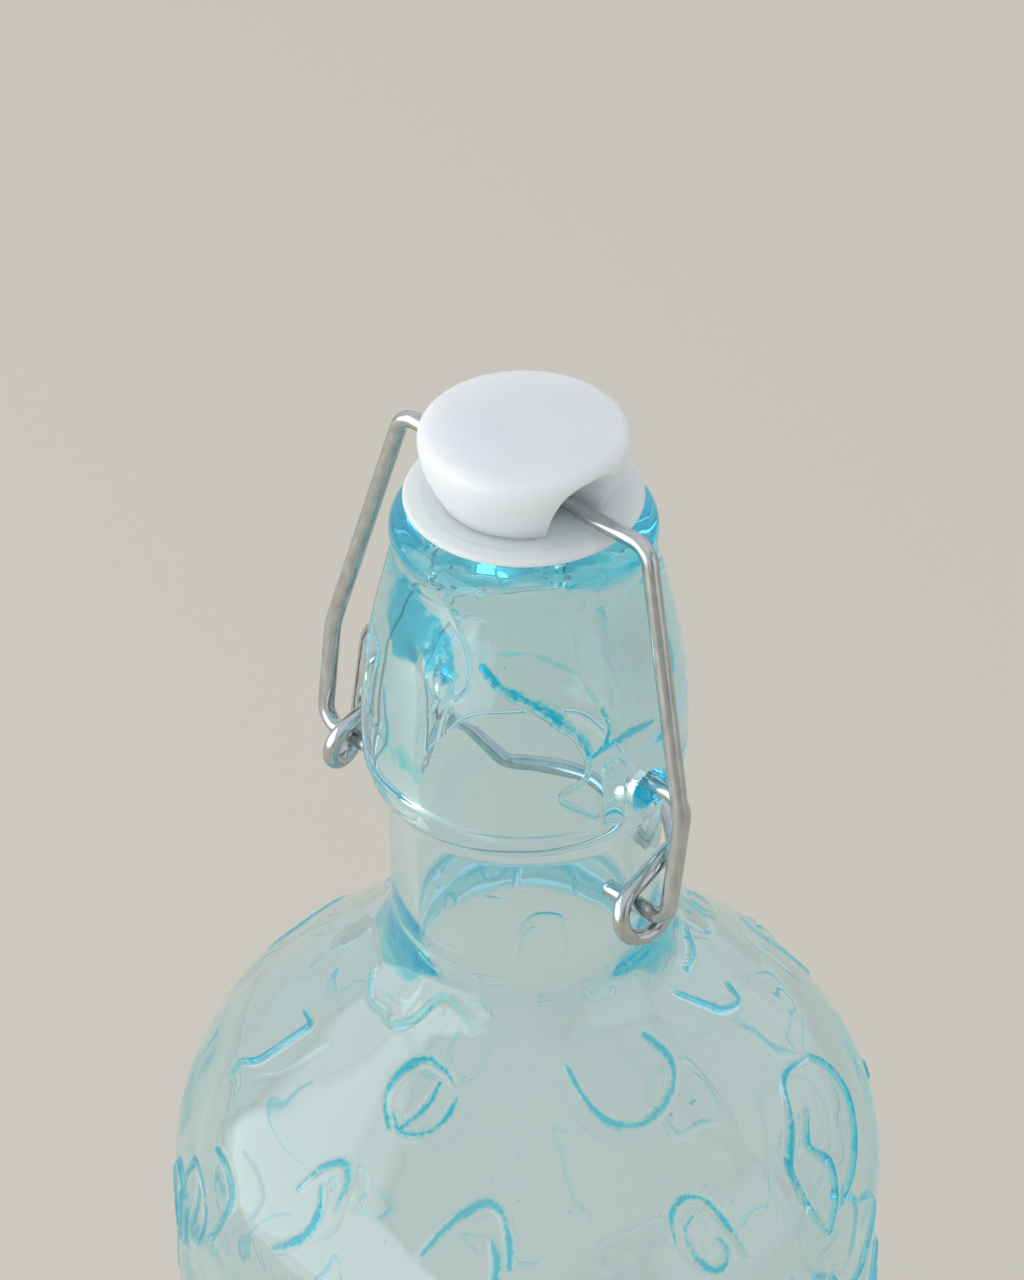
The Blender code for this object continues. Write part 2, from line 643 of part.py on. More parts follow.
def make_bail(steel):
    """Straight run through the cap, splayed arms, and feet that turn in through the eyes."""
    stub = stub_centre()
    rise = CAP_WIRE_Z - stub.y
    top = Vector((BAIL_ELBOW_HALF_WIDTH, -stub.x, rise))
    bend = Vector((BAIL_BEND_HALF_WIDTH, -BAIL_BEND_OFFSET - stub.x, rise - BAIL_BEND_BELOW_CAP_WIRE))
    foot = Vector((BAIL_FOOT_HALF_WIDTH, 0, 0))
    tip = Vector((BAIL_STUB_END, 0, 0))
    across = Vector((0, top.y, top.z))
    half = [tip]
    half += rounded_corner(tip, foot, bend, WIRE_BEND)
    half += rounded_corner(foot, bend, top, BAIL_BEND_ROUND)
    half += rounded_corner(bend, top, across, WIRE_BEND)
    return wire("bail_wire", half, steel)


def place(piece, point, parent=None):
    """Puts the piece's origin at a world point, and keeps it there under its parent."""
    piece.location = point
    if parent is not None:
        bpy.context.view_layer.update()
        piece.parent = parent
        piece.matrix_parent_inverse = parent.matrix_world.inverted()


def main():
    for old in list(bpy.data.objects):
        bpy.data.objects.remove(old, do_unlink=True)
    glass = material("blue_glass", (0.55, 0.82, 0.88), 0.02, transmission=1.0)
    plastic = material("white_plastic", (0.86, 0.88, 0.9), 0.35)
    rubber = material("clear_silicone", (0.78, 0.85, 0.88), 0.45, transmission=0.3)
    steel = material("bright_steel", (0.72, 0.73, 0.74), 0.22, metallic=1.0)
    stub = stub_centre()
    bottle = make_bottle(glass)
    lever = make_lever(steel)
    place(lever, (0, 0, PIVOT_Z), bottle)
    bail = make_bail(steel)
    place(bail, (0, stub.x, stub.y), lever)
    cap = make_cap(plastic)
    place(cap, (0, 0, CAP_WIRE_Z), bail)
    gasket = make_gasket(rubber)
    place(gasket, (0, 0, GASKET_Z), cap)


main()
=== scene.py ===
"""Swing-top bottle of light-blue moulded glass, closed, on a pale table in soft window light."""

import math

import bmesh
import bpy
import numpy as np
from mathutils import Matrix, Vector


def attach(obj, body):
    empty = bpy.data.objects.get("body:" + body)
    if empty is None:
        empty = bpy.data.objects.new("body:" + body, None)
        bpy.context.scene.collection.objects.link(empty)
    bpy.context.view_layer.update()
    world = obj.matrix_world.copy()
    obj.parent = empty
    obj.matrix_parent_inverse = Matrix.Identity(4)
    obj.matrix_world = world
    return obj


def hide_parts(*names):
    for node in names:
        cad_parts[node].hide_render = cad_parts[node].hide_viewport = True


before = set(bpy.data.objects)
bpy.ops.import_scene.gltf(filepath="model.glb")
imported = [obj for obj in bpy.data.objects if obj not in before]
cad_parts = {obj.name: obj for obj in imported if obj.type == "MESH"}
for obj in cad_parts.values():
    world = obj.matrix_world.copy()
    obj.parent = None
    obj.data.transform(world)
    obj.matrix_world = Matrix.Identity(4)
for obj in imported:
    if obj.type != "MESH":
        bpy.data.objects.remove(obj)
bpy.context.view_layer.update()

# Glass bottle
# One blown and moulded piece of light-blue soda glass. It is thin in the wall and thick in the collar
# and lip, where the longer way through the glass makes it deep blue.
LIP_TOP = 0.264
BODY_RADIUS = 0.047
BODY_WALL = 0.0042
HEEL_RADIUS = 0.009
REST_RING = 0.004
PUSH_UP = 0.0045
BASE_THICKNESS = 0.005
SHOULDER_ROUND = 0.0275
SHOULDER_SLOPE = math.radians(46)
NECK_RADIUS = 0.0173
NECK_INNER_RADIUS = 0.0139
FLARE_INNER_ROUND = 0.0105
FLARE_INNER_LEAD = 0.0068
FLARE_TOP = LIP_TOP - 0.0597
FLARE_ROUND = 0.0145
LIP_RADIUS = 0.0167
SEAT_RADIUS = 0.0137
GROOVE_RADIUS = 0.01615
GROOVE_DROP = 0.0057
COLLAR_RADIUS = 0.0206
COLLAR_WIDEST_DROP = 0.0315
COLLAR_UNDER_DROP = 0.0352
COLLAR_UNDER_HEIGHT = 0.006
NECK_TOP_DROP = 0.0428
BORE_RADIUS = 0.00925
BORE_ROUND = 0.0014
BORE_END_DROP = 0.0075
LIP_ROUND_HEIGHT = 0.003
CLOSE_ROWS_LENGTH = 0.03
GLASS_COLUMNS = 768
INNER_SHARE = 3

# Inside of the collar, from the neck up to the bore: drop below the lip, and radius
COLLAR_HOLLOW = (
    (0.046, NECK_INNER_RADIUS),
    (0.040, NECK_INNER_RADIUS),
    (0.030, 0.0138),
    (0.022, 0.0127),
    (0.016, 0.0108),
    (0.0115, 0.00955),
    (BORE_END_DROP, BORE_RADIUS),
)


def between(start, end, steps):
    """Even shares from start to end, without the start."""
    return [start + (end - start) * i / steps for i in range(1, steps + 1)]


def eased(share):
    """A share from 0 to 1 that starts and ends softly."""
    return share * share * (3 - 2 * share)

def bend_points(centre_radius, centre_height, radius, start, end, steps, height_radius=None):
    """Points along an arc of the glass's outline, angles in degrees from outward to up."""
    points = []
    for angle in between(start, end, steps):
        turn = math.radians(angle)
        rise = radius if height_radius is None else height_radius
        points.append((centre_radius + radius * math.cos(turn), centre_height + rise * math.sin(turn)))
    return points


def straight_points(start, end, steps):
    return [
        (start[0] + (end[0] - start[0]) * share, start[1] + (end[1] - start[1]) * share)
        for share in between(0, 1, steps)
    ]


def smooth_line(points, steps=6):
    """Points of a soft curve through the given ones."""
    points = np.array(points, float)
    points = np.concatenate([[2 * points[0] - points[1]], points, [2 * points[-1] - points[-2]]])
    line = []
    for i in range(1, len(points) - 2):
        before, start, end, after = points[i - 1:i + 3]
        for share in np.arange(steps) / steps:
            line.append(
                0.5 * (
                    2 * start + (end - before) * share
                    + (2 * before - 5 * start + 4 * end - after) * share**2
                    + (3 * start - before - 3 * end + after) * share**3
                )
            )
    line.append(points[-2])
    return np.array(line)


slope = math.degrees(SHOULDER_SLOPE)
flare_out = FLARE_ROUND * (1 - math.cos(SHOULDER_SLOPE))
round_out = SHOULDER_ROUND * (1 - math.cos(SHOULDER_SLOPE))
slope_top = FLARE_TOP - FLARE_ROUND * math.sin(SHOULDER_SLOPE)
slope_run = BODY_RADIUS - round_out - NECK_RADIUS - flare_out
wall_top = slope_top - slope_run / math.tan(SHOULDER_SLOPE) - SHOULDER_ROUND * math.sin(SHOULDER_SLOPE)

# Outside, from the inner edge of the lip down to the middle of the push-up
groove = LIP_TOP - GROOVE_DROP
collar_top = (GROOVE_RADIUS + 0.00025, groove - 0.00035)
outside = [(BORE_RADIUS + BORE_ROUND, LIP_TOP)]
outside += straight_points(outside[-1], (SEAT_RADIUS, LIP_TOP), 3)
outside += bend_points(
    SEAT_RADIUS, LIP_TOP - LIP_ROUND_HEIGHT, LIP_RADIUS - SEAT_RADIUS, 90, -12, 14, LIP_ROUND_HEIGHT
)
outside += straight_points(outside[-1], (GROOVE_RADIUS + 0.0002, groove + 0.0003), 4)
outside += [(GROOVE_RADIUS, groove), collar_top]
for share in between(0, 1, 90):
    out = (COLLAR_RADIUS - collar_top[0]) * math.sin(share * math.pi / 2)
    drop = (LIP_TOP - COLLAR_WIDEST_DROP - collar_top[1]) * share
    outside.append((collar_top[0] + out, collar_top[1] + drop))
outside += straight_points(outside[-1], (COLLAR_RADIUS, LIP_TOP - COLLAR_UNDER_DROP), 14)
outside += bend_points(
    NECK_RADIUS, LIP_TOP - COLLAR_UNDER_DROP, COLLAR_RADIUS - NECK_RADIUS, 0, -84, 36, COLLAR_UNDER_HEIGHT
)
outside += straight_points(outside[-1], (NECK_RADIUS, LIP_TOP - NECK_TOP_DROP), 3)
outside += straight_points(outside[-1], (NECK_RADIUS, FLARE_TOP), 24)
outside += bend_points(NECK_RADIUS + FLARE_ROUND, FLARE_TOP, FLARE_ROUND, 180, 180 + slope, 24)
slope_end = (BODY_RADIUS - round_out, wall_top + SHOULDER_ROUND * math.sin(SHOULDER_SLOPE))
outside += straight_points(outside[-1], slope_end, 84)
outside += bend_points(BODY_RADIUS - SHOULDER_ROUND, wall_top, SHOULDER_ROUND, slope, 0, 84)
outside += straight_points(outside[-1], (BODY_RADIUS, wall_top - CLOSE_ROWS_LENGTH), 90)
outside += straight_points(outside[-1], (BODY_RADIUS, HEEL_RADIUS), 250)
outside += bend_points(BODY_RADIUS - HEEL_RADIUS, HEEL_RADIUS, HEEL_RADIUS, 0, -90, 16)
ring_inner = BODY_RADIUS - HEEL_RADIUS - REST_RING
outside += straight_points(outside[-1], (ring_inner, 0), 3)
for share in between(0, 1, 12):
    outside.append((ring_inner * math.cos(share * math.pi / 2), PUSH_UP * math.sin(share * math.pi / 2)))
outside[-1] = (0, PUSH_UP)

# Inside, from the middle of the floor up to the mouth
inner_radius = BODY_RADIUS - BODY_WALL
heel_inner = HEEL_RADIUS - BODY_WALL
floor = PUSH_UP + BASE_THICKNESS
inside = [(0, floor)]
inside += straight_points((0, floor), (inner_radius - heel_inner, BASE_THICKNESS), 10)
inside += bend_points(inner_radius - heel_inner, BASE_THICKNESS + heel_inner, heel_inner, -90, 0, 8)
inside += straight_points(inside[-1], (inner_radius, wall_top), 40)
round_inner = SHOULDER_ROUND - BODY_WALL
flare_centre = np.array((NECK_INNER_RADIUS + FLARE_INNER_ROUND, FLARE_TOP - FLARE_INNER_LEAD))
round_centre = np.array((BODY_RADIUS - SHOULDER_ROUND, wall_top))
apart = flare_centre - round_centre
inner_slope = math.atan2(apart[1], apart[0])
inner_slope -= math.acos((FLARE_INNER_ROUND + round_inner) / math.hypot(*apart))
flare_foot = flare_centre - FLARE_INNER_ROUND * np.array((math.cos(inner_slope), math.sin(inner_slope)))
inner_slope = math.degrees(inner_slope)
inside += bend_points(*round_centre, round_inner, 0, inner_slope, 16)
inside += straight_points(inside[-1], flare_foot, 12)
inside += bend_points(*flare_centre, FLARE_INNER_ROUND, 180 + inner_slope, 180, 20)
inside += straight_points(inside[-1], (NECK_INNER_RADIUS, LIP_TOP - COLLAR_HOLLOW[0][0]), 8)
for drop, radius in smooth_line(COLLAR_HOLLOW, 14)[1:]:
    inside.append((radius, LIP_TOP - drop))
inside += straight_points(inside[-1], (BORE_RADIUS, LIP_TOP - BORE_ROUND), 16)
inside += bend_points(BORE_RADIUS + BORE_ROUND, LIP_TOP - BORE_ROUND, BORE_ROUND, 180, 95, 4)

# Raised curls, each drawn by strokes in millimetres across and up the wall from the curl's middle. On the
# side that faces the camera, in degrees round from the front, the curls stand out most and are painted
# bluest; their painted blue stands in for light bent along their flanks.
CURL_HEIGHT = 0.0005
CURL_HALF_WIDTH = 0.0011
CURL_REACH = 0.016
CAMERA_SIDE = 45
NO_STROKE = 0.003
CURL_SHAPES = {
    "snail": (
        ((-2.7, -5.0), (-4.6, -1.6), (-3.8, 2.2), (-1.2, 4.9), (1.6, 4.4), (3.6, 3.0)),
        ((4.7, 1.4), (4.0, -2.0), (2.0, -4.2), (-0.8, -4.9), (-2.6, -3.2)),
        ((1.8, 2.6), (1.5, 0.0), (0.3, -2.6), (-1.0, -4.4)),
    ),
    "bowl": (
        (
            (-6.4, 4.4), (-5.7, 0.2), (-3.8, -3.5), (0.0, -5.0), (3.8, -4.1),
            (6.5, -2.0), (7.4, 0.6), (6.2, 3.4), (4.9, 5.2),
        ),
    ),
    "hook": (
        ((-3.8, 0.8), (-2.0, 4.8), (0.6, 6.8), (2.3, 5.0), (2.7, 1.2)),
        ((-0.8, 2.8), (0.5, 0.0), (0.3, -3.2), (-1.8, -6.0), (-3.9, -7.6)),
    ),
    "claw": (
        ((-5.4, -1.4), (-2.8, 2.4), (0.0, 5.2), (2.1, 6.4), (4.2, 5.0), (5.5, 1.4), (5.9, -1.8)),
        ((3.4, 1.4), (4.3, -2.0), (3.2, -6.6)),
    ),
    "nine": (
        ((-4.6, 0.8), (-3.7, 4.2), (-1.4, 5.7), (1.2, 4.6), (2.9, 1.0), (4.6, -4.8)),
        ((-1.0, 3.2), (-2.8, 1.8), (-2.8, -1.2), (-1.2, -4.0), (0.9, -4.4), (2.0, -2.6), (1.3, -0.8)),
    ),
    "leaf": (
        (
            (8.7, 7.0), (3.5, 9.2), (0.4, 9.1), (-3.0, 5.7), (-6.5, 3.4),
            (-9.0, 1.4), (-9.9, -2.0), (-9.8, -5.6), (-8.7, -9.6),
        ),
        ((8.7, 7.0), (10.6, 3.5), (10.4, -0.6), (7.6, -3.6), (1.7, -6.7), (-4.6, -8.2)),
        ((0.5, 4.5), (-3.7, 1.5), (-2.2, -2.5), (-4.5, -6.5), (-8.2, -9.6)),
    ),
    "wave": (
        ((-3.0, 4.6), (-0.8, 0.7), (1.2, -2.4), (5.0, -4.1), (6.0, -2.0)),
        ((8.6, 5.5), (6.0, 4.5), (1.9, 4.7)),
    ),
    "comma": (((-1.2, 5.8), (1.5, 6.1), (1.2, 3.1), (0.8, 0.0), (0.0, -3.0), (-2.3, -5.7), (-1.8, -7.7)),),
    "wing": (((-4.4, 4.8), (-0.6, 4.6), (3.0, 2.4), (2.6, -2.0), (0.5, -5.8)),),
    "ripple": (
        (
            (-10.4, 0.6), (-7.4, -1.6), (-4.4, -1.4), (-2.2, -1.9),
            (0.4, 0.2), (2.1, 3.8), (4.6, 4.4), (8.6, 1.6),
        ),
    ),
}

# The upper curls: shape, degrees round from the front, rows down from the neck's foot, turn and size share
ROW_STEP = 0.019
UPPER_CURLS = [
    ("ripple", 0, 0.58, 0, 1.0),
    ("snail", 14, 1.03, 0, 1.0),
    ("bowl", 72, 0.95, 0, 1.0),
    ("wave", 114, 0.84, 0, 1.0),
    ("nine", 168, 1.0, 20, 0.9),
    ("bowl", 214, 0.95, 0, 0.95),
    ("hook", 262, 1.0, -20, 0.8),
    ("comma", 325, 1.47, 0, 1.0),
    ("hook", 2, 2.0, 0, 1.0),
    ("claw", 32, 1.95, 0, 1.0),
    ("nine", 77, 2.08, 0, 1.0),
    ("leaf", 112, 2.1, 0, 1.0),
    ("claw", 166, 2.0, 10, 1.0),
    ("snail", 200, 2.05, -15, 1.15),
    ("hook", 236, 1.95, 0, 1.0),
    ("bowl", 271, 2.05, 170, 0.9),
    ("wing", 340, 2.47, 0, 1.0),
]

# The rows below take the next shape in turn, each a little off its place
LOWER_CURLS = [
    ("nine", 1.1),
    ("snail", 1.1),
    ("wing", 1.1),
    ("bowl", 1.0),
    ("comma", 1.1),
    ("leaf", 0.75),
    ("claw", 0.95),
    ("hook", 0.9),
]
LOWER_START = 3.05
LOWER_ROWS = 8
CURLS_PER_ROW = 10
DRIFT = 0.08
ROUND_BEAT = 2.4
DOWN_BEAT = 3.7
curls = list(UPPER_CURLS)
for row in range(LOWER_ROWS):
    for i in range(CURLS_PER_ROW):
        place = row * CURLS_PER_ROW + i
        shape, size = LOWER_CURLS[(place + row) % len(LOWER_CURLS)]
        drift = math.sin(ROUND_BEAT * place)
        round_degrees = (i + (row % 2) / 2 + DRIFT * drift) * 360 / CURLS_PER_ROW
        rows_down = LOWER_START + row + DRIFT * math.cos(DOWN_BEAT * place)
        curls.append((shape, round_degrees, rows_down, math.degrees(drift / 2), size))

WAVES = 7
WAVE_SWING = 3.2


def wavy(x, y, z, size, seed):
    """Smooth irregular value from -1 to 1, with waves of about this size in metres."""
    draw = np.random.default_rng(seed)
    value = np.zeros(np.shape(x))
    for _ in range(WAVES):
        way = draw.normal(size=3)
        way = way / np.linalg.norm(way) * draw.uniform(0.6, 1.5) * 2 * math.pi / size
        value = value + np.sin(x * way[0] + y * way[1] + z * way[2] + draw.uniform(0, 2 * math.pi))
    return np.clip(value / WAVE_SWING, -1, 1)


def stroke_gap(across, along, strokes, turn, size):
    """Distance to one curl's nearest stroke, at points given in metres from the curl's middle."""
    angle = math.radians(turn)
    turning = np.array(((math.cos(angle), math.sin(angle)), (-math.sin(angle), math.cos(angle))))
    least = np.full(across.shape, NO_STROKE)
    for stroke in strokes:
        line = smooth_line(stroke) * size * 0.001 @ turning
        for i, (start, end) in enumerate(zip(line[:-1], line[1:])):
            way = end - start
            share = np.clip(((across - start[0]) * way[0] + (along - start[1]) * way[1]) / (way @ way), 0, 1)
            gap = np.hypot(across - start[0] - way[0] * share, along - start[1] - way[1] * share)
            swell = 0.5 + 0.5 * math.sin(math.pi * (i + 0.5) / (len(line) - 1)) ** 0.6
            least = np.minimum(least, gap / swell)
    return least


profile = np.array(outside)
count = len(profile)
turns = np.linspace(0, 2 * math.pi, GLASS_COLUMNS, endpoint=False)
lengths = np.concatenate([[0.0], np.cumsum(np.hypot(*np.diff(profile, axis=0).T))])
flare_at = int(np.argmin(np.abs(profile[:, 1] - FLARE_TOP)))
along_wall = lengths - lengths[flare_at]
ahead = np.roll(profile, -1, axis=0) - np.roll(profile, 1, axis=0)
ahead[0], ahead[-1] = (1, 0), (-1, 0)
outward = np.stack([-ahead[:, 1], ahead[:, 0]], axis=1)
outward = outward / np.hypot(*outward.T)[:, None]

radius_grid = np.repeat(profile[:, :1], GLASS_COLUMNS, axis=1)
flat_height = np.repeat(profile[:, 1:], GLASS_COLUMNS, axis=1)
turn_grid = np.repeat(turns[None, :], count, axis=0)
along_grid = np.repeat(along_wall[:, None], GLASS_COLUMNS, axis=1)
from_stroke = np.full_like(radius_grid, NO_STROKE)
painted_line_blue = np.zeros_like(radius_grid)
relief = np.ones_like(radius_grid)


def turned_from(degrees):
    """How far round each point is from this bearing, in radians either way."""
    return (turn_grid - math.radians(degrees) + math.pi) % (2 * math.pi) - math.pi


def nearer_line(where, gap, blue):
    """Where this line is the nearest so far, its distance and its painted blue are kept."""
    mine = gap < from_stroke[where]
    from_stroke[where] = np.where(mine, gap, from_stroke[where])
    painted_line_blue[where] = np.where(mine, blue, painted_line_blue[where])
    return mine


for at, (kind, round_degrees, rows_down, turn, size) in enumerate(curls):
    across = turned_from(round_degrees) * radius_grid
    down = along_grid - rows_down * ROW_STEP
    near = (np.abs(across) < CURL_REACH) & (np.abs(down) < CURL_REACH) & (along_grid > 0)
    gap = stroke_gap(across[near], -down[near], CURL_SHAPES[kind], turn, size)
    # Curls on the camera's side stand taller and get more painted blue, a stand-in for light bent at their
    # flanks
    facing = np.clip(1.6 * math.cos(math.radians(round_degrees - CAMERA_SIDE)) + 0.75, 0, 1)
    blue = (0.35 + 0.65 * facing) * (0.45 if kind == "ripple" else 0.92 + 0.08 * math.sin(1.9 * at))
    mine = nearer_line(near, gap, blue)
    relief[near] = np.where(mine, 0.6 + 0.4 * facing, relief[near])
raised = CURL_HEIGHT * relief * eased(np.clip(1 - from_stroke / CURL_HALF_WIDTH, 0, 1))

# Folds where the cooling glass met itself in the collar's mould: strokes in millimetres round from the
# camera side and up from FOLD_DROP, with half width, depth and painted blue. The painted blue stands in
# for light bent along the folds.
FOLD_DROP = 0.025
FOLD_AT_RADIUS = 0.020
FOLD_WAVER = 0.00015
FOLD_BLUE_SPREAD = 0.6
FOLDS_TOP_DROP = 0.001
FOLDS_BOTTOM_DROP = 0.042
FOLDS = (
    (((-6.2, 13.0), (-3.8, 10.7), (0.2, 8.6), (4.0, 6.0), (6.9, 2.6), (7.5, 0.4)), 1.0, 0.42, 1.0),
    (((-4.6, 14.9), (-1.0, 15.2), (2.3, 14.5), (6.3, 12.0), (9.2, 7.4)), 0.4, 0.08, 0.45),
    (((9.6, 6.4), (10.4, 3.6), (9.8, 1.4), (8.0, 0.2)), 0.5, 0.12, 1.0),
    (((7.4, 0.6), (7.0, -2.9), (3.7, -5.2), (8.4, -9.1)), 0.45, 0.16, 0.3),
    (((9.0, 0.6), (12.5, 1.5), (17.3, 1.1)), 0.6, 0.1, 0.9),
    (
        (
            (-20.8, 22.3), (-15.5, 21.2), (-11.7, 18.3), (-8.6, 14.4),
            (-8.2, 9.8), (-10.7, 6.1), (-12.0, -0.5),
        ),
        0.4, 0.12, 0.15,
    ),
    (((-21.8, 3.9), (-20.2, -2.5), (-23.0, -7.7)), 0.5, 0.12, 0.5),
)
collar_rows = (flat_height > LIP_TOP - FOLDS_BOTTOM_DROP) & (flat_height < LIP_TOP - FOLDS_TOP_DROP)
fold_across = turned_from(CAMERA_SIDE)[collar_rows] * FOLD_AT_RADIUS
fold_up = FOLD_DROP - (LIP_TOP - flat_height[collar_rows])
fold_waver = FOLD_WAVER * wavy(fold_across, fold_up, 0 * fold_up, 0.0035, 31)
for stroke, half_width, depth, blue in FOLDS:
    gap = np.abs(stroke_gap(fold_across, fold_up, (stroke,), 0, 1) + fold_waver)
    raised[collar_rows] -= depth * 0.001 * eased(np.clip(1 - gap * 1000 / half_width, 0, 1))
    nearer_line(collar_rows, gap * FOLD_BLUE_SPREAD / half_width, blue)

# The mould left a sharp line all round where the collar's face turns under
COLLAR_LINE_DROP = 0.0356
COLLAR_LINE_HALF_WIDTH = 0.0004
COLLAR_LINE_DEPTH = 0.00009
from_line = np.abs(LIP_TOP - flat_height - COLLAR_LINE_DROP)
raised -= COLLAR_LINE_DEPTH * np.clip(1 - from_line / COLLAR_LINE_HALF_WIDTH, 0, 1)

# Under the curls the outside is a little uneven, as glass chilled by its mould is. It fades out at the neck
# and towards the heel.
SLOW_SWELL = 0.00014
QUICK_SWELL = 0.00002
WALL_SINK = 0.00016
EVEN_HEEL = 0.012
FADE_LENGTH = 0.006
wall_x = radius_grid * np.sin(turn_grid)
wall_y = -radius_grid * np.cos(turn_grid)
slow = wavy(wall_x, wall_y, flat_height, 0.020, 21)
quick = wavy(wall_x, wall_y, flat_height, 0.007, 22)
on_wall = np.clip(along_grid / FADE_LENGTH, 0, 1) * np.clip((flat_height - EVEN_HEEL) / FADE_LENGTH, 0, 1)
raised += on_wall * (SLOW_SWELL * slow + QUICK_SWELL * quick - WALL_SINK)
radius_grid = radius_grid + raised * outward[:, :1]
height_grid = flat_height + raised * outward[:, 1:]
outer_x = radius_grid * np.sin(turn_grid)
outer_y = -radius_grid * np.cos(turn_grid)

# Flat pads on the collar, each with a dimple for the lever's tip
PIVOT_DROP = 0.0317
PAD_FACE = 0.0212
PAD_HALF_WIDTH = 0.0086
PAD_TOP = LIP_TOP - 0.0247
PAD_HEIGHT = 0.013
PAD_SOFT = 0.0042
PAD_END_SOFT = 0.0024
PAD_STEP = 0.0034
PAD_MARGIN = 0.001
PAD_LEAST_X = 0.012
DIMPLE_RADIUS = 0.003
DIMPLE_DEPTH = 0.0039
DIMPLE_WALL = 0.0004
DIMPLE_BELOW_PIVOT = 0.0016
from_pad = np.abs(height_grid - (PAD_TOP - PAD_HEIGHT / 2))
over = np.maximum(np.abs(outer_y) - (PAD_HALF_WIDTH - PAD_SOFT), 0) / PAD_SOFT
above = np.maximum(from_pad - (PAD_HEIGHT / 2 - PAD_END_SOFT), 0) / PAD_END_SOFT
edge = np.clip(np.hypot(over, above), 0, 1)
pad_x = np.where(edge < 1, PAD_FACE - PAD_STEP * eased(edge), 0)
on_collar = (from_pad < PAD_HEIGHT / 2 + PAD_MARGIN) & (np.abs(outer_x) > PAD_LEAST_X)
from_dimple = np.hypot(outer_y, height_grid - (LIP_TOP - PIVOT_DROP - DIMPLE_BELOW_PIVOT))
sink = DIMPLE_DEPTH * eased(np.clip((DIMPLE_RADIUS - from_dimple) / DIMPLE_WALL, 0, 1))
pad_x = np.sign(outer_x) * (np.maximum(np.abs(outer_x), pad_x) - sink)
outer_x = np.where(on_collar, pad_x, outer_x)

# Inside, with a third of the columns and the faint unevenness of blown glass
COLLAR_UNEVEN = 0.0001
BODY_UNEVEN = 0.0002
UNEVEN_RADIUS = 0.014
inner_profile = np.array(inside)
inner_count = len(inner_profile)
inner_columns = GLASS_COLUMNS // INNER_SHARE
inner_turns = np.repeat(turns[None, ::INNER_SHARE], inner_count, axis=0)
inner_radius_grid = np.repeat(inner_profile[:, :1], inner_columns, axis=1)
inner_height = np.repeat(inner_profile[:, 1:], inner_columns, axis=1)
above_neck = np.clip((inner_height - (LIP_TOP - 0.048)) / 0.006, 0, 1)
in_collar = above_neck * np.clip((LIP_TOP - 0.008 - inner_height) / 0.004, 0, 1)
around_x, around_y = np.sin(inner_turns) * UNEVEN_RADIUS, -np.cos(inner_turns) * UNEVEN_RADIUS
uneven = COLLAR_UNEVEN * in_collar * wavy(around_x, around_y, inner_height, 0.011, 3)
in_neck = np.clip((inner_height - FLARE_TOP + 0.014) / 0.006, 0, 1)
below_neck = BODY_UNEVEN * (1 - in_collar) * (1 - 0.85 * in_neck)
uneven = uneven + below_neck * wavy(around_x * 2.5, around_y * 2.5, inner_height, 0.018, 4)
uneven = uneven * np.clip(inner_radius_grid / 0.004 - 1, 0, 1) * (inner_height < LIP_TOP - 0.006)
inner_radius_grid = inner_radius_grid + uneven
inner_x = inner_radius_grid * np.sin(inner_turns)
inner_y = -inner_radius_grid * np.cos(inner_turns)

# Painted deep blue, standing in for the blue that light picks up where it runs a long way through the
# glass: ragged patches on the collar, the sides of the lip, and a faint line round the neck's foot. Each
# patch has its middle and half width in degrees, its drop and half height in millimetres, and its strength.
BLUE_PATCHES = (
    (-10, 20, 10.0, 6.0, 0.95),
    (7, 10, 13.0, 4.0, 0.95),
    (-24, 8, 9.0, 3.0, 0.8),
    (-30, 22, 36.0, 2.2, 0.6),
    (111, 7, 17.0, 9.5, 0.9),
)
PATCH_RAG = 0.5
PATCH_SOFT = 0.3
coarse_rag = wavy(outer_x, outer_y, height_grid, 0.009, 11)
fine_rag = wavy(outer_x, outer_y, height_grid, 0.0032, 12)
ragged = coarse_rag * 0.6 + fine_rag * 0.4
drop_grid = LIP_TOP - height_grid


def soft_band(value, start, end, soft):
    """One between start and end, and fading over soft on both sides."""
    return eased(np.clip((value - start) / soft, 0, 1) * np.clip((end - value) / soft, 0, 1))


# Painted blue under the lip on the sides away from the camera, for light carried round inside the lip
to_the_sides = 0.7 * np.clip(np.abs(np.degrees(turned_from(CAMERA_SIDE))) / 25 - 1.2, 0, 1)
deep = to_the_sides * soft_band(drop_grid + 0.0006 * ragged, 0.0006, 0.0031, 0.0008)
for degrees, half_degrees, drop, half_drop, strength in BLUE_PATCHES:
    shares_round = np.degrees(turned_from(degrees)) / half_degrees
    from_middle = np.hypot(shares_round, (drop_grid * 1000 - drop) / half_drop)
    share = np.clip((1 + PATCH_RAG * ragged - from_middle) / PATCH_SOFT, 0, 1)
    deep = np.maximum(deep, strength * eased(share))
# Faint painted blue round the neck's foot, for the inner flare seen through the neck
foot_line = soft_band(along_grid, 0.0084, 0.0099, 0.0007)
deep = np.maximum(deep, 0.15 * foot_line * (0.6 + 0.4 * ragged))


def placed(name, data):
    """A mesh or camera put into the scene under this name."""
    made = bpy.data.objects.new(name, data)
    bpy.context.scene.collection.objects.link(made)
    return made


def smooth_mesh(name, points, faces):
    """A mesh with every face shaded smooth."""
    mesh = bpy.data.meshes.new(name)
    mesh.from_pydata(points, [], faces)
    mesh.polygons.foreach_set("use_smooth", [True] * len(mesh.polygons))
    mesh.update()
    return mesh


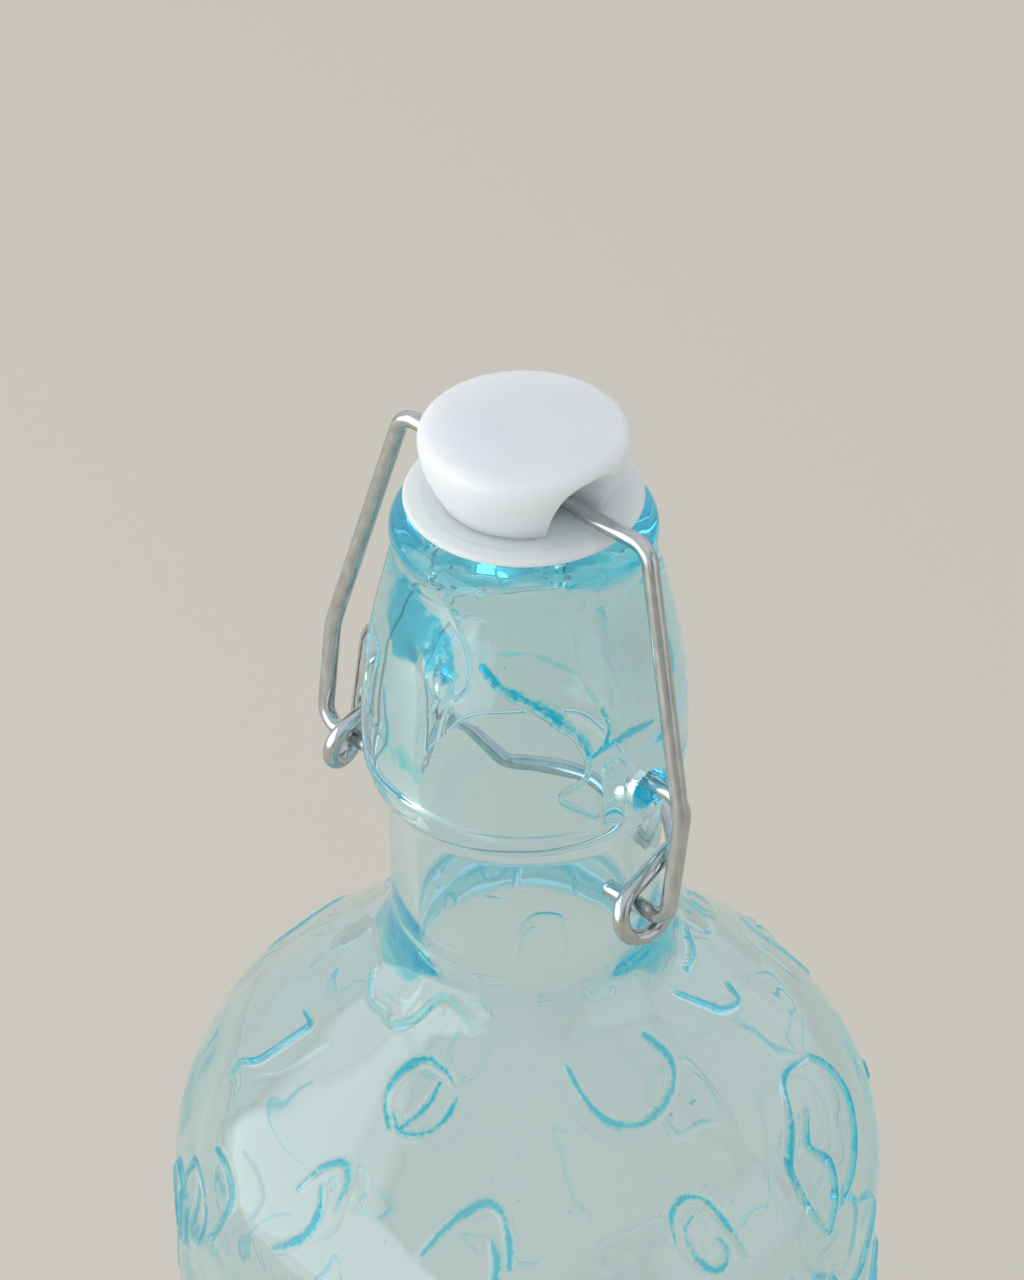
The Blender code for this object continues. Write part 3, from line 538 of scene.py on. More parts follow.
def glass_body(name):
    """Closed mesh: floor inside, up the inside, over the lip, down the outside, and in under the base."""
    inner_points = np.stack([inner_x[1:].ravel(), inner_y[1:].ravel(), inner_height[1:].ravel()], axis=1)
    outer_points = np.stack([outer_x[:-1].ravel(), outer_y[:-1].ravel(), height_grid[:-1].ravel()], axis=1)
    inner_rows, outer_rows = inner_count - 1, count - 1
    faces = []
    first_outer = len(inner_points)
    for rows, columns, first in ((inner_rows, inner_columns, 0), (outer_rows, GLASS_COLUMNS, first_outer)):
        row = first + np.arange(rows - 1)[:, None] * columns
        column = np.arange(columns)[None, :]
        after = (column + 1) % columns
        quads = np.stack([row + columns + column, row + columns + after, row + after, row + column], axis=-1)
        faces += quads.reshape(-1, 4).tolist()
    last_inner = (inner_rows - 1) * inner_columns
    for i in range(inner_columns):
        shared = range((i + 1) * INNER_SHARE, i * INNER_SHARE - 1, -1)
        outer_edge = [first_outer + k % GLASS_COLUMNS for k in shared]
        faces.append(([last_inner + i, last_inner + (i + 1) % inner_columns] + outer_edge)[::-1])
    points = np.concatenate([inner_points, outer_points, [[0, 0, floor], [0, 0, PUSH_UP]]])
    floor_point, base_point = len(points) - 2, len(points) - 1
    last = first_outer + (outer_rows - 1) * GLASS_COLUMNS
    for i in range(inner_columns):
        faces.append([floor_point, i, (i + 1) % inner_columns])
    for i in range(GLASS_COLUMNS):
        faces.append([base_point, last + (i + 1) % GLASS_COLUMNS, last + i])
    mesh = smooth_mesh(name, points.tolist(), faces)
    for kind, values, plain in (
        ("painted_path_blue", deep, 0.0),
        ("from_stroke", from_stroke * 1000, NO_STROKE * 1000),
        ("painted_line_blue", painted_line_blue, 0.0),
    ):
        grid = mesh.attributes.new(kind, "FLOAT", "POINT")
        spread = np.concatenate([np.full(first_outer, plain), values[:-1].ravel(), [plain, plain]])
        grid.data.foreach_set("value", spread.astype(np.float32))
    mesh.update()
    return placed(name, mesh)


bottle = glass_body("bottle_glass")


def new_finish(name):
    """A material, its node tree and its shader."""
    finish = bpy.data.materials.new(name)
    finish.use_nodes = True
    return finish, finish.node_tree, finish.node_tree.nodes["Principled BSDF"]


def fill_in(tree, node, inputs):
    """Each input gets a plain value, or a link where it is given another node's output."""
    for name, value in inputs.items():
        if isinstance(value, bpy.types.NodeSocket):
            tree.links.new(value, node.inputs[name])
        else:
            node.inputs[name].default_value = value


def add_node(tree, kind, inputs):
    """One node of a finish, filled in."""
    node = tree.nodes.new("ShaderNode" + kind)
    fill_in(tree, node, inputs)
    return node


def on_piece(tree):
    """Places on the piece itself, in metres."""
    return add_node(tree, "TexCoord", {}).outputs["Object"]


def noise(tree, place, scale, detail):
    return add_node(tree, "TexNoise", {"Vector": place, "Scale": scale, "Detail": detail}).outputs["Fac"]


def bumped(tree, height, strength, distance):
    """The surface's normal, tilted by small heights."""
    bump = add_node(tree, "Bump", {"Height": height, "Strength": strength, "Distance": distance})
    return bump.outputs["Normal"]


def worked_out(tree, operation, first, second):
    """One step of arithmetic on a socket and a second socket or number."""
    step = tree.nodes.new("ShaderNodeMath")
    step.operation = operation
    fill_in(tree, step, {0: first, 1: second})
    return step.outputs[0]


def spread_over(tree, value, start, end, low, high):
    """The value's range from start to end laid over low to high."""
    ranges = {"Value": value, "From Min": start, "From Max": end, "To Min": low, "To Max": high}
    return add_node(tree, "MapRange", ranges).outputs["Result"]


# Clear glass with a pale tint all through. Strokes and patches carry ragged painted blue, which stands in
# for light bent and carried a long way through the glass, and tiny seeds are scattered in it. Light that
# has crossed many faces goes straight on.
LEAK_AFTER = 6.5
CLEAR = (0.95, 0.975, 0.99, 1)
PALE_BLUE = (0.2, 0.93, 1.0, 1)
DEEP_BLUE = (0.0, 0.52, 0.97, 1)
THROUGH_BLUE = (0.0, 0.84, 0.985, 1)
THROUGH_DENSITY = 22.0
glass, glass_tree, glass_shader = new_finish("light_blue_glass")
glass_place = on_piece(glass_tree)
speckle = noise(glass_tree, glass_place, 1500.0, 3.0)
blotch = noise(glass_tree, glass_place, 170.0, 2.0)


def glass_number(kind):
    """A number that the mesh carries at each point."""
    grid = add_node(glass_tree, "Attribute", {})
    grid.attribute_name = kind
    return grid.outputs["Fac"]


def torn(value, fine, coarse_low, coarse_high):
    """The value with its edges torn by fine speckle and by coarse blotches."""
    by_speckle = spread_over(glass_tree, speckle, 0.3, 0.7, -fine, fine)
    by_blotch = spread_over(glass_tree, blotch, 0.35, 0.65, coarse_low, coarse_high)
    return worked_out(glass_tree, "ADD", worked_out(glass_tree, "ADD", value, by_speckle), by_blotch)


stroke_gaps = torn(glass_number("from_stroke"), 0.2, -0.18, 0.26)
stroke_blue = spread_over(glass_tree, stroke_gaps, 0.2, 0.7, 1.0, 0.0)
stroke_blue = worked_out(glass_tree, "MULTIPLY", stroke_blue, glass_number("painted_line_blue"))
patch_depth = glass_number("painted_path_blue")
patch_blue = spread_over(glass_tree, torn(patch_depth, 0.25, -0.3, 0.3), 0.3, 0.75, 0.15, 1.0)
patch_blue = worked_out(glass_tree, "MULTIPLY", patch_blue, patch_depth)
seeds = add_node(glass_tree, "TexVoronoi", {"Vector": glass_place, "Scale": 130.0})
seed_blue = spread_over(glass_tree, seeds.outputs["Distance"], 0.016, 0.03, 0.75, 0.0)
whole_blue = worked_out(glass_tree, "MAXIMUM", stroke_blue, patch_blue)
whole_blue = worked_out(glass_tree, "MAXIMUM", whole_blue, seed_blue)
blue_range = add_node(glass_tree, "ValToRGB", {"Fac": whole_blue})
blue_range.color_ramp.elements[0].color = CLEAR
blue_range.color_ramp.elements[1].color = DEEP_BLUE
blue_range.color_ramp.elements.new(0.55).color = PALE_BLUE
fill_in(glass_tree, glass_shader, {
    "IOR": 1.5,
    "Transmission Weight": 1.0,
    "Roughness": 0.0,
    "Base Color": blue_range.outputs["Color"],
    "Normal": bumped(glass_tree, noise(glass_tree, glass_place, 90.0, 1.0), 0.05, 0.001),
})

# Shadows and the light on matt things pass straight through the glass
tint = add_node(glass_tree, "VolumeAbsorption", {"Color": THROUGH_BLUE, "Density": THROUGH_DENSITY})
ray = add_node(glass_tree, "LightPath", {})
lights = worked_out(glass_tree, "MAXIMUM", ray.outputs["Is Shadow Ray"], ray.outputs["Is Diffuse Ray"])
worn_out = worked_out(glass_tree, "GREATER_THAN", ray.outputs["Ray Depth"], LEAK_AFTER)
through = add_node(glass_tree, "MixShader", {
    "Fac": worked_out(glass_tree, "MAXIMUM", lights, worn_out),
    1: glass_shader.outputs["BSDF"],
    2: add_node(glass_tree, "BsdfTransparent", {}).outputs["BSDF"],
})
fill_in(glass_tree, glass_tree.nodes["Material Output"], {
    "Surface": through.outputs["Shader"],
    "Volume": tint.outputs["Volume"],
})
bottle.data.materials.append(glass)
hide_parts("glass_bottle")
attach(bottle, "bottle")

# Lever wire
# One bent steel wire that closes the bottle: a tip in each dimple, an arm and a full-turn eye on each
# side, and a bow behind the neck that the thumb pushes down.
WIRE_RADIUS = 0.0011
WIRE_BEND = 0.0028
PIVOT_Z = LIP_TOP - PIVOT_DROP
TIP_X = 0.0181
LEVER_HALF_WIDTH = 0.0272
EYE_BELOW_PIVOT = 0.0148
EYE_BEHIND_PIVOT = 0.0062
EYE_RADIUS = 0.0033
EYE_PITCH = 0.0026
KNEE_HALF_WIDTH = 0.0244
KNEE_BELOW_PIVOT = 0.0086
KNEE_BEND = 0.004
HANDLE_BELOW_PIVOT = 0.021
HANDLE_BEND = 0.005
HANDLE_LEAD = 0.002
HANDLE_STANDOFF = 0.0005
HANDLE_HALF_ANGLE = math.radians(45)
BOW_STEPS = 18
BEND_STEP = math.radians(5)
WIRE_STEP = 0.0012
WIRE_SIDES = 28
WIRE_CHAMFER = 0.00022


def rounded_corner(before, corner, after, radius):
    """Points of the arc that rounds one corner of a wire."""
    back_way = (before - corner).normalized()
    ahead_way = (after - corner).normalized()
    half = back_way.angle(ahead_way) / 2
    centre = corner + (back_way + ahead_way).normalized() * (radius / math.sin(half))
    reach = radius / math.tan(half)
    first = (corner + back_way * reach - centre).normalized()
    last = (corner + ahead_way * reach - centre).normalized()
    steps = max(3, math.ceil((math.pi - 2 * half) / BEND_STEP))
    return [centre + first.slerp(last, i / steps) * radius for i in range(steps + 1)]


def bent_wire(name, half):
    """A round wire from its half on the +X side, with chamfered cut ends and its length along the UV map."""
    path = half + [Vector((-point.x, point.y, point.z)) for point in reversed(half)]
    fine = [path[0]]
    for start, end in zip(path[:-1], path[1:]):
        pieces = max(1, math.ceil((end - start).length / WIRE_STEP))
        fine += [start.lerp(end, i / pieces) for i in range(1, pieces + 1)]
    path = fine
    ways = [(path[min(i + 1, len(path) - 1)] - path[max(i - 1, 0)]).normalized() for i in range(len(path))]
    across = ways[0].orthogonal().normalized()
    rings = []
    run = 0.0
    for i, (point, way) in enumerate(zip(path, ways)):
        across = (across - way * across.dot(way)).normalized()
        if i:
            run += (point - path[i - 1]).length
        rings.append((point, way, across.copy(), WIRE_RADIUS, run))
    first, last = rings[0], rings[-1]
    small = WIRE_RADIUS - WIRE_CHAMFER
    rings[0] = (first[0] + first[1] * WIRE_CHAMFER, *first[1:])
    rings[-1] = (last[0] - last[1] * WIRE_CHAMFER, *last[1:])
    rings.insert(0, (first[0], first[1], first[2], small, first[4]))
    rings.append((last[0], last[1], last[2], small, last[4]))
    bm = bmesh.new()
    uv = bm.loops.layers.uv.new("along_wire")
    loops = []
    for point, way, out, size, _ in rings:
        other = way.cross(out)
        loop = []
        for k in range(WIRE_SIDES):
            angle = 2 * math.pi * k / WIRE_SIDES
            loop.append(bm.verts.new(point + (out * math.cos(angle) + other * math.sin(angle)) * size))
        loops.append(loop)
    for i in range(len(loops) - 1):
        for k in range(WIRE_SIDES):
            after = (k + 1) % WIRE_SIDES
            face = bm.faces.new((loops[i][k], loops[i][after], loops[i + 1][after], loops[i + 1][k]))
            face.smooth = True
            places = ((k, i), (k + 1, i), (k + 1, i + 1), (k, i + 1))
            for corner, (turn, at) in zip(face.loops, places):
                corner[uv].uv = (turn / WIRE_SIDES * 2 * math.pi * WIRE_RADIUS * 1000, rings[at][4] * 1000)
    bm.faces.new(list(reversed(loops[0])))
    bm.faces.new(loops[-1])
    bmesh.ops.recalc_face_normals(bm, faces=bm.faces)
    mesh = bpy.data.meshes.new(name)
    bm.to_mesh(mesh)
    bm.free()
    return placed(name, mesh)


def on_eye(angle, x):
    """A point on the eye's middle line, with the angle from +Y towards +Z."""
    return Vector(
        (
            x,
            -EYE_BEHIND_PIVOT + EYE_RADIUS * math.cos(angle),
            PIVOT_Z - EYE_BELOW_PIVOT + EYE_RADIUS * math.sin(angle),
        )
    )


tip = Vector((TIP_X, 0, PIVOT_Z))
arm_corner = Vector((LEVER_HALF_WIDTH, 0, PIVOT_Z))
bow_radius = NECK_RADIUS + WIRE_RADIUS + HANDLE_STANDOFF
bow_z = PIVOT_Z - HANDLE_BELOW_PIVOT


def on_bow(angle):
    """A point on the bow behind the neck, with the angle from +Y towards +X."""
    return Vector((bow_radius * math.sin(angle), bow_radius * math.cos(angle), bow_z))


bow_end = on_bow(HANDLE_HALF_ANGLE)
bow_out = Vector((math.cos(HANDLE_HALF_ANGLE), -math.sin(HANDLE_HALF_ANGLE), 0))
bow_corner = bow_end + bow_out * HANDLE_LEAD
knee = bow_corner + bow_out * ((KNEE_HALF_WIDTH - bow_corner.x) / bow_out.x)
knee.z = PIVOT_Z - KNEE_BELOW_PIVOT
to_corner = Vector((EYE_BEHIND_PIVOT, EYE_BELOW_PIVOT))
to_knee = Vector((knee.y + EYE_BEHIND_PIVOT, knee.z - PIVOT_Z + EYE_BELOW_PIVOT))
enter = math.atan2(to_corner.y, to_corner.x) - math.acos(EYE_RADIUS / to_corner.length)
leave = math.atan2(to_knee.y, to_knee.x) + math.acos(EYE_RADIUS / to_knee.length) - 2 * math.pi
eye_steps = math.ceil((enter - leave) / BEND_STEP)
eye_ring = []
for i in range(eye_steps + 1):
    share = i / eye_steps
    eye_ring.append(on_eye(enter + (leave - enter) * share, LEVER_HALF_WIDTH - EYE_PITCH * share))
lever_half = [tip]
lever_half += rounded_corner(tip, arm_corner, eye_ring[0], WIRE_BEND)
lever_half += eye_ring
lever_half += rounded_corner(eye_ring[-1], knee, bow_corner, KNEE_BEND)
lever_half += rounded_corner(knee, bow_corner, bow_end, HANDLE_BEND)
for i in range(BOW_STEPS):
    lever_half.append(on_bow(HANDLE_HALF_ANGLE * (1 - i / (BOW_STEPS - 0.5))))
lever = bent_wire("lever_steel", lever_half)

# Bright drawn steel: long die lines and a thin uneven zinc bloom
steel, steel_tree, steel_shader = new_finish("bright_drawn_steel")
along_wire = add_node(steel_tree, "UVMap", {})
along_wire.uv_map = "along_wire"


def stretched_noise(scale, detail):
    """Noise on the wire's surface, scaled round and along it in parts of a millimetre."""
    stretch = add_node(steel_tree, "Mapping", {"Vector": along_wire.outputs["UV"], "Scale": (*scale, 1)})
    return noise(steel_tree, stretch.outputs["Vector"], 1.0, detail)


def ranged(tree, value, low, high):
    """The middle range of a noise spread from low to high."""
    return spread_over(tree, value, 0.3, 0.7, low, high)


def two_tones(tree, value, first, second):
    """A colour that wanders between two tones with a noise."""
    tones = tree.nodes.new("ShaderNodeMix")
    tones.data_type = "RGBA"
    fill_in(tree, tones, {"Factor": ranged(tree, value, 0.0, 1.0), "A": first, "B": second})
    return tones.outputs["Result"]


die_lines = stretched_noise((5.0, 0.12), 4.0)
bloom = stretched_noise((0.9, 0.35), 5.0)
fill_in(steel_tree, steel_shader, {
    "Metallic": 1.0,
    "Roughness": ranged(steel_tree, bloom, 0.09, 0.2),
    "Base Color": two_tones(steel_tree, bloom, (0.44, 0.465, 0.465, 1), (0.6, 0.62, 0.615, 1)),
    "Normal": bumped(steel_tree, die_lines, 0.25, 0.00008),
})
lever.data.materials.append(steel)
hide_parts("lever_wire")
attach(lever, "lever")

# Bail wire
# One bent steel wire that carries the cap: straight through it, splayed down both sides of the neck,
# and turned in at each foot through the lever's eyes.
CAP_WIRE_Z = LIP_TOP + 0.00375
BAIL_ELBOW_HALF_WIDTH = 0.02065
BAIL_BEND_HALF_WIDTH = 0.0301
BAIL_BEND_BELOW_CAP_WIRE = 0.035
BAIL_BEND_OFFSET = 0.0039
BAIL_BEND_ROUND = 0.012
BAIL_FOOT_HALF_WIDTH = 0.0299
BAIL_STUB_END = 0.0198
EYE_SLACK = 0.0008
eye_middle = Vector((0, -EYE_BEHIND_PIVOT, PIVOT_Z - EYE_BELOW_PIVOT))
stub = eye_middle + (Vector((0, 0, CAP_WIRE_Z)) - eye_middle).normalized() * EYE_SLACK
elbow = Vector((BAIL_ELBOW_HALF_WIDTH, 0, CAP_WIRE_Z))
outer_bend = Vector((BAIL_BEND_HALF_WIDTH, -BAIL_BEND_OFFSET, CAP_WIRE_Z - BAIL_BEND_BELOW_CAP_WIRE))
foot = Vector((BAIL_FOOT_HALF_WIDTH, stub.y, stub.z))
stub_tip = Vector((BAIL_STUB_END, stub.y, stub.z))
bail_half = [stub_tip]
bail_half += rounded_corner(stub_tip, foot, outer_bend, WIRE_BEND)
bail_half += rounded_corner(foot, outer_bend, elbow, BAIL_BEND_ROUND)
bail_half += rounded_corner(outer_bend, elbow, Vector((0, 0, CAP_WIRE_Z)), WIRE_BEND)
bail = bent_wire("bail_steel", bail_half)
bail.data.materials.append(steel)
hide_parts("bail_wire")
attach(bail, "bail")

# Gasket ring
# A soft ring of milky silicone between the lip and the cap, moulded with a shallow seat for the cap and
# pushed over the barb of the cap's stem.
GASKET_Z = LIP_TOP + 0.0003
GASKET_THICKNESS = 0.0019
GASKET_RADIUS = 0.0149
GASKET_HOLE = 0.0049
GASKET_HOLE_ROUND = 0.0002
GASKET_SEAT_DEPTH = 0.0002
GASKET_SEAT_RADIUS = 0.0122
GASKET_SEAT_STEP = 0.0006
GASKET_EDGE = 0.0005
GASKET_FOOT_RADIUS = 0.0127
RING_COLUMNS = 192


def turned_piece(name, profile, closed):
    """Smooth turned mesh from (radius, height) points that run down its outer side."""
    points = []
    rows = []
    for radius, height in profile:
        if radius < 1e-9:
            rows.append([len(points)])
            points.append((0, 0, height))
            continue
        rows.append(list(range(len(points), len(points) + RING_COLUMNS)))
        for k in range(RING_COLUMNS):
            angle = 2 * math.pi * k / RING_COLUMNS
            points.append((radius * math.sin(angle), -radius * math.cos(angle), height))
    if closed:
        rows.append(rows[0])
    faces = []
    for high, low in zip(rows[:-1], rows[1:]):
        for k in range(RING_COLUMNS):
            after = (k + 1) % RING_COLUMNS
            if len(high) == 1:
                faces.append((high[0], low[k], low[after]))
            elif len(low) == 1:
                faces.append((high[k], low[0], high[after]))
            else:
                faces.append((high[k], low[k], low[after], high[after]))
    return placed(name, smooth_mesh(name, points, faces))


gasket_top = GASKET_Z + GASKET_THICKNESS
gasket_seat = gasket_top - GASKET_SEAT_DEPTH
seat_start = GASKET_SEAT_RADIUS - 0.0001
hole_top = gasket_seat - GASKET_HOLE_ROUND
gasket_profile = [(GASKET_HOLE, hole_top)]
gasket_profile += bend_points(GASKET_HOLE + GASKET_HOLE_ROUND, hole_top, GASKET_HOLE_ROUND, 180, 90, 4)
gasket_profile += straight_points(gasket_profile[-1], (seat_start, gasket_seat), 6)
for share in between(0, 1, 6):
    step_radius = seat_start + GASKET_SEAT_STEP * share
    gasket_profile.append((step_radius, gasket_top - GASKET_SEAT_DEPTH * (1 - eased(share))))
rim_start = GASKET_RADIUS - GASKET_EDGE
gasket_profile += straight_points(gasket_profile[-1], (rim_start, gasket_top), 4)
gasket_profile += bend_points(rim_start, gasket_top - GASKET_EDGE, GASKET_EDGE, 90, -45, 12)
gasket_profile += straight_points(gasket_profile[-1], (GASKET_FOOT_RADIUS, GASKET_Z), 4)
gasket_profile += straight_points(gasket_profile[-1], (GASKET_HOLE, GASKET_Z), 6)
gasket = turned_piece("gasket_silicone", gasket_profile, True)

silicone, silicone_tree, silicone_shader = new_finish("milky_silicone")
silicone_cloud = noise(silicone_tree, on_piece(silicone_tree), 260.0, 4.0)
fill_in(silicone_tree, silicone_shader, {
    "IOR": 1.41,
    "Transmission Weight": 0.15,
    "Subsurface Weight": 0.9,
    "Subsurface Radius": (0.9, 1.0, 1.0),
    "Subsurface Scale": 0.006,
    "Base Color": two_tones(silicone_tree, silicone_cloud, (0.9, 0.975, 0.99, 1), (0.95, 0.995, 1.0, 1)),
    "Roughness": ranged(silicone_tree, silicone_cloud, 0.34, 0.5),
    "Normal": bumped(silicone_tree, silicone_cloud, 0.15, 0.0001),
})
gasket.data.materials.append(silicone)
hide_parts("stopper_gasket")
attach(gasket, "stopper")

# Stopper cap
# A bowl-shaped head of white moulded plastic with a barbed stem under it. A cross slot takes the bail
# wire, and opens like a funnel where the wire comes out on each side.
CAP_Z = CAP_WIRE_Z - 0.00145
CAP_RADIUS = 0.013
CAP_BASE_RADIUS = 0.0103
CAP_WIDEST_HEIGHT = 0.008
CAP_EDGE_ROUND = 0.0015
CAP_CROWN = 0.0007
STEM_RADIUS = 0.0046
STEM_LENGTH = 0.0058
BARB_RADIUS = 0.0062
BARB_LAND = 0.0008
BARB_CHAMFER = 0.0016
BARB_DROP = 0.0023
SLOT_RADIUS = WIRE_RADIUS + 0.0003
SLOT_LEG = 0.00185
RECESS_START_X = STEM_RADIUS + 0.0006
RECESS_MOUTH_X = 0.0132
RECESS_HALF_WIDTH = 0.0058
RECESS_OFFSET = 0.0015
RECESS_HEIGHT = 0.00695
RECESS_ARCH_POWER = 0.67
RECESS_THROAT = 0.22
RECESS_FLARE_POWER = 0.7
RECESS_STEPS = 16
CUTTER_REACH = 0.002
CAP_GRAIN = 0.00018
edge_z = CAP_Z + CAP_WIDEST_HEIGHT
flat_radius = CAP_RADIUS - CAP_EDGE_ROUND
rim_top = edge_z + CAP_EDGE_ROUND
cap_profile = [(0, rim_top + CAP_CROWN)]
for share in between(0, 1, 16):
    rise = CAP_CROWN * (1 - share * share)
    cap_profile.append((flat_radius * share, rim_top + rise))
cap_profile += bend_points(flat_radius, edge_z, CAP_EDGE_ROUND, 84, 0, 12)
for share in between(1, 0, 28):
    side_radius = CAP_BASE_RADIUS + (CAP_RADIUS - CAP_BASE_RADIUS) * math.sin(share * math.pi / 2)
    cap_profile.append((side_radius, CAP_Z + CAP_WIDEST_HEIGHT * share))
barb_top = CAP_Z - BARB_DROP
barb_full = barb_top - (BARB_RADIUS - STEM_RADIUS) / 2
stem_end = CAP_Z - STEM_LENGTH
for corner in (
    (STEM_RADIUS, CAP_Z),
    (STEM_RADIUS, barb_top),
    (BARB_RADIUS, barb_full),
    (BARB_RADIUS, barb_full - BARB_LAND),
    (BARB_RADIUS - BARB_CHAMFER, stem_end),
):
    cap_profile += straight_points(cap_profile[-1], corner, 4)
cap_profile.append((0, stem_end))
cap = turned_piece("cap_plastic", cap_profile, False)


def cutter(name, build, centre):
    """A closed shape for one cut, filled in by build(bm)."""
    mesh = bpy.data.meshes.new(name)
    bm = bmesh.new()
    build(bm)
    bmesh.ops.translate(bm, vec=centre, verts=bm.verts)
    bmesh.ops.recalc_face_normals(bm, faces=bm.faces)
    bm.to_mesh(mesh)
    bm.free()
    return placed(name, mesh)


def slot_shape(bm):
    outline = [(SLOT_RADIUS, -SLOT_LEG)]
    outline += [(SLOT_RADIUS * math.cos(a), SLOT_RADIUS * math.sin(a)) for a in np.linspace(0, math.pi, 25)]
    outline += [(-SLOT_RADIUS, -SLOT_LEG)]
    reach = CAP_RADIUS + CUTTER_REACH
    face = bm.faces.new([bm.verts.new((-reach, y, z)) for y, z in outline])
    grown = bmesh.ops.extrude_face_region(bm, geom=[face])["geom"]
    grown = [item for item in grown if isinstance(item, bmesh.types.BMVert)]
    bmesh.ops.translate(bm, vec=(2 * reach, 0, 0), verts=grown)


def funnel_hollow(side):
    """Arched hollow round the wire that opens like a funnel, from the stem out to past the cap's side."""
    stations = []
    for share in [0.0] + between(0, 1, RECESS_STEPS):
        stations.append((RECESS_START_X + (RECESS_MOUTH_X - RECESS_START_X) * share, share))
    stations.append((CAP_RADIUS + CUTTER_REACH, 1.0))

    def build(bm):
        rings = []
        for x, share in stations:
            opened = RECESS_THROAT + (1 - RECESS_THROAT) * share**RECESS_FLARE_POWER
            outline = []
            for angle in np.linspace(0, math.pi, 49):
                out = math.copysign(abs(math.cos(angle)) ** RECESS_ARCH_POWER, math.cos(angle))
                rise = abs(math.sin(angle)) ** RECESS_ARCH_POWER
                outline.append((RECESS_HALF_WIDTH * opened * out, RECESS_HEIGHT * opened * rise))
            outline = [(outline[0][0], -SLOT_LEG)] + outline + [(outline[-1][0], -SLOT_LEG)]
            rings.append([bm.verts.new((side * x, y, z)) for y, z in outline])
        for near, far in zip(rings[:-1], rings[1:]):
            for k in range(len(near)):
                after = (k + 1) % len(near)
                bm.faces.new((near[k], near[after], far[after], far[k]))
        bm.faces.new(rings[0])
        bm.faces.new(rings[-1])

    return build


cutters = [cutter("wire_slot", slot_shape, (0, 0, CAP_WIRE_Z))]
for side_way in (1, -1):
    middle = (0, -RECESS_OFFSET * side_way, CAP_WIRE_Z)
    cutters.append(cutter("wire_recess", funnel_hollow(side_way), middle))
for made in cutters:
    cut = cap.modifiers.new(made.name, "BOOLEAN")
    cut.operation = "DIFFERENCE"
    cut.object = made
grain = cap.modifiers.new("even_skin", "REMESH")
grain.mode = "VOXEL"
grain.voxel_size = CAP_GRAIN
grain.use_smooth_shade = True
soften = cap.modifiers.new("rounded_edges", "SMOOTH")
soften.factor = 0.5
soften.iterations = 4
bpy.context.view_layer.update()
finished = bpy.data.meshes.new_from_object(cap.evaluated_get(bpy.context.evaluated_depsgraph_get()))
cap.modifiers.clear()
cap.data = finished
for made in cutters:
    bpy.data.objects.remove(made, do_unlink=True)

plastic, plastic_tree, plastic_shader = new_finish("white_moulded_plastic")
plastic_place = on_piece(plastic_tree)
plastic_mottle = noise(plastic_tree, plastic_place, 120.0, 3.0)
plastic_grain = noise(plastic_tree, plastic_place, 2600.0, 2.0)
fill_in(plastic_tree, plastic_shader, {
    "IOR": 1.5,
    "Subsurface Weight": 0.9,
    "Subsurface Radius": (1.0, 1.0, 1.05),
    "Subsurface Scale": 0.009,
    "Base Color": two_tones(plastic_tree, plastic_mottle, (0.72, 0.735, 0.75, 1), (0.76, 0.77, 0.78, 1)),
    "Roughness": ranged(plastic_tree, plastic_mottle, 0.36, 0.46),
    "Normal": bumped(plastic_tree, plastic_grain, 0.2, 0.00003),
})
cap.data.materials.clear()
cap.data.materials.append(plastic)
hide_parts("stopper_cap")
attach(cap, "stopper")

# Table
# A plain matt table in warm grey, wide enough to fill every view.
TABLE_COLOUR = (0.64, 0.594, 0.508)
TABLE_HALF_WIDTH = 6
TABLE_DROP = 0.0004


def flat_sheet(name, half):
    """A flat square in the scene, seen from above."""
    corners = [(-half, -half, 0), (half, -half, 0), (half, half, 0), (-half, half, 0)]
    mesh = bpy.data.meshes.new(name)
    mesh.from_pydata(corners, [], [(0, 1, 2, 3)])
    return placed(name, mesh)


table = flat_sheet("table", TABLE_HALF_WIDTH)
table.location = (0, 0, -TABLE_DROP)
table_paint, table_tree, table_shader = new_finish("matt_warm_grey")
fill_in(table_tree, table_shader, {"Base Color": (*TABLE_COLOUR, 1), "Roughness": 0.9})
table.data.materials.append(table_paint)

# Camera, at the photograph's height and angle
VIEW_AROUND = math.radians(43.69)
VIEW_DOWN = math.radians(37.08)
VIEW_ROLL = math.radians(-0.4)
VIEW_DISTANCE = 0.7343
FOCAL_PIXELS = 6000
PICTURE_WIDTH = 1024
PICTURE_HEIGHT = 1280
AIM = Vector((0, 0, 0.2663))
AIM_PIXEL = (523.7, 489.7)
level_reach = math.cos(VIEW_DOWN)
back = Vector(
    (math.sin(VIEW_AROUND) * level_reach, -math.cos(VIEW_AROUND) * level_reach, math.sin(VIEW_DOWN))
)
level = Vector((math.cos(VIEW_AROUND), math.sin(VIEW_AROUND), 0))
upright = back.cross(level)
right = level * math.cos(VIEW_ROLL) + upright * math.sin(VIEW_ROLL)
up = upright * math.cos(VIEW_ROLL) - level * math.sin(VIEW_ROLL)
shift_x = (AIM_PIXEL[0] - PICTURE_WIDTH / 2) / FOCAL_PIXELS * VIEW_DISTANCE
shift_y = (PICTURE_HEIGHT / 2 - AIM_PIXEL[1]) / FOCAL_PIXELS * VIEW_DISTANCE
eye = AIM + back * VIEW_DISTANCE - right * shift_x - up * shift_y
lens = bpy.data.cameras.new("view")
lens.sensor_fit = "VERTICAL"
lens.sensor_height = 36
lens.lens = FOCAL_PIXELS / PICTURE_HEIGHT * lens.sensor_height
camera = placed("view", lens)
camera.matrix_world = Matrix.Translation(eye) @ Matrix((right, up, back)).transposed().to_4x4()
bpy.context.scene.camera = camera

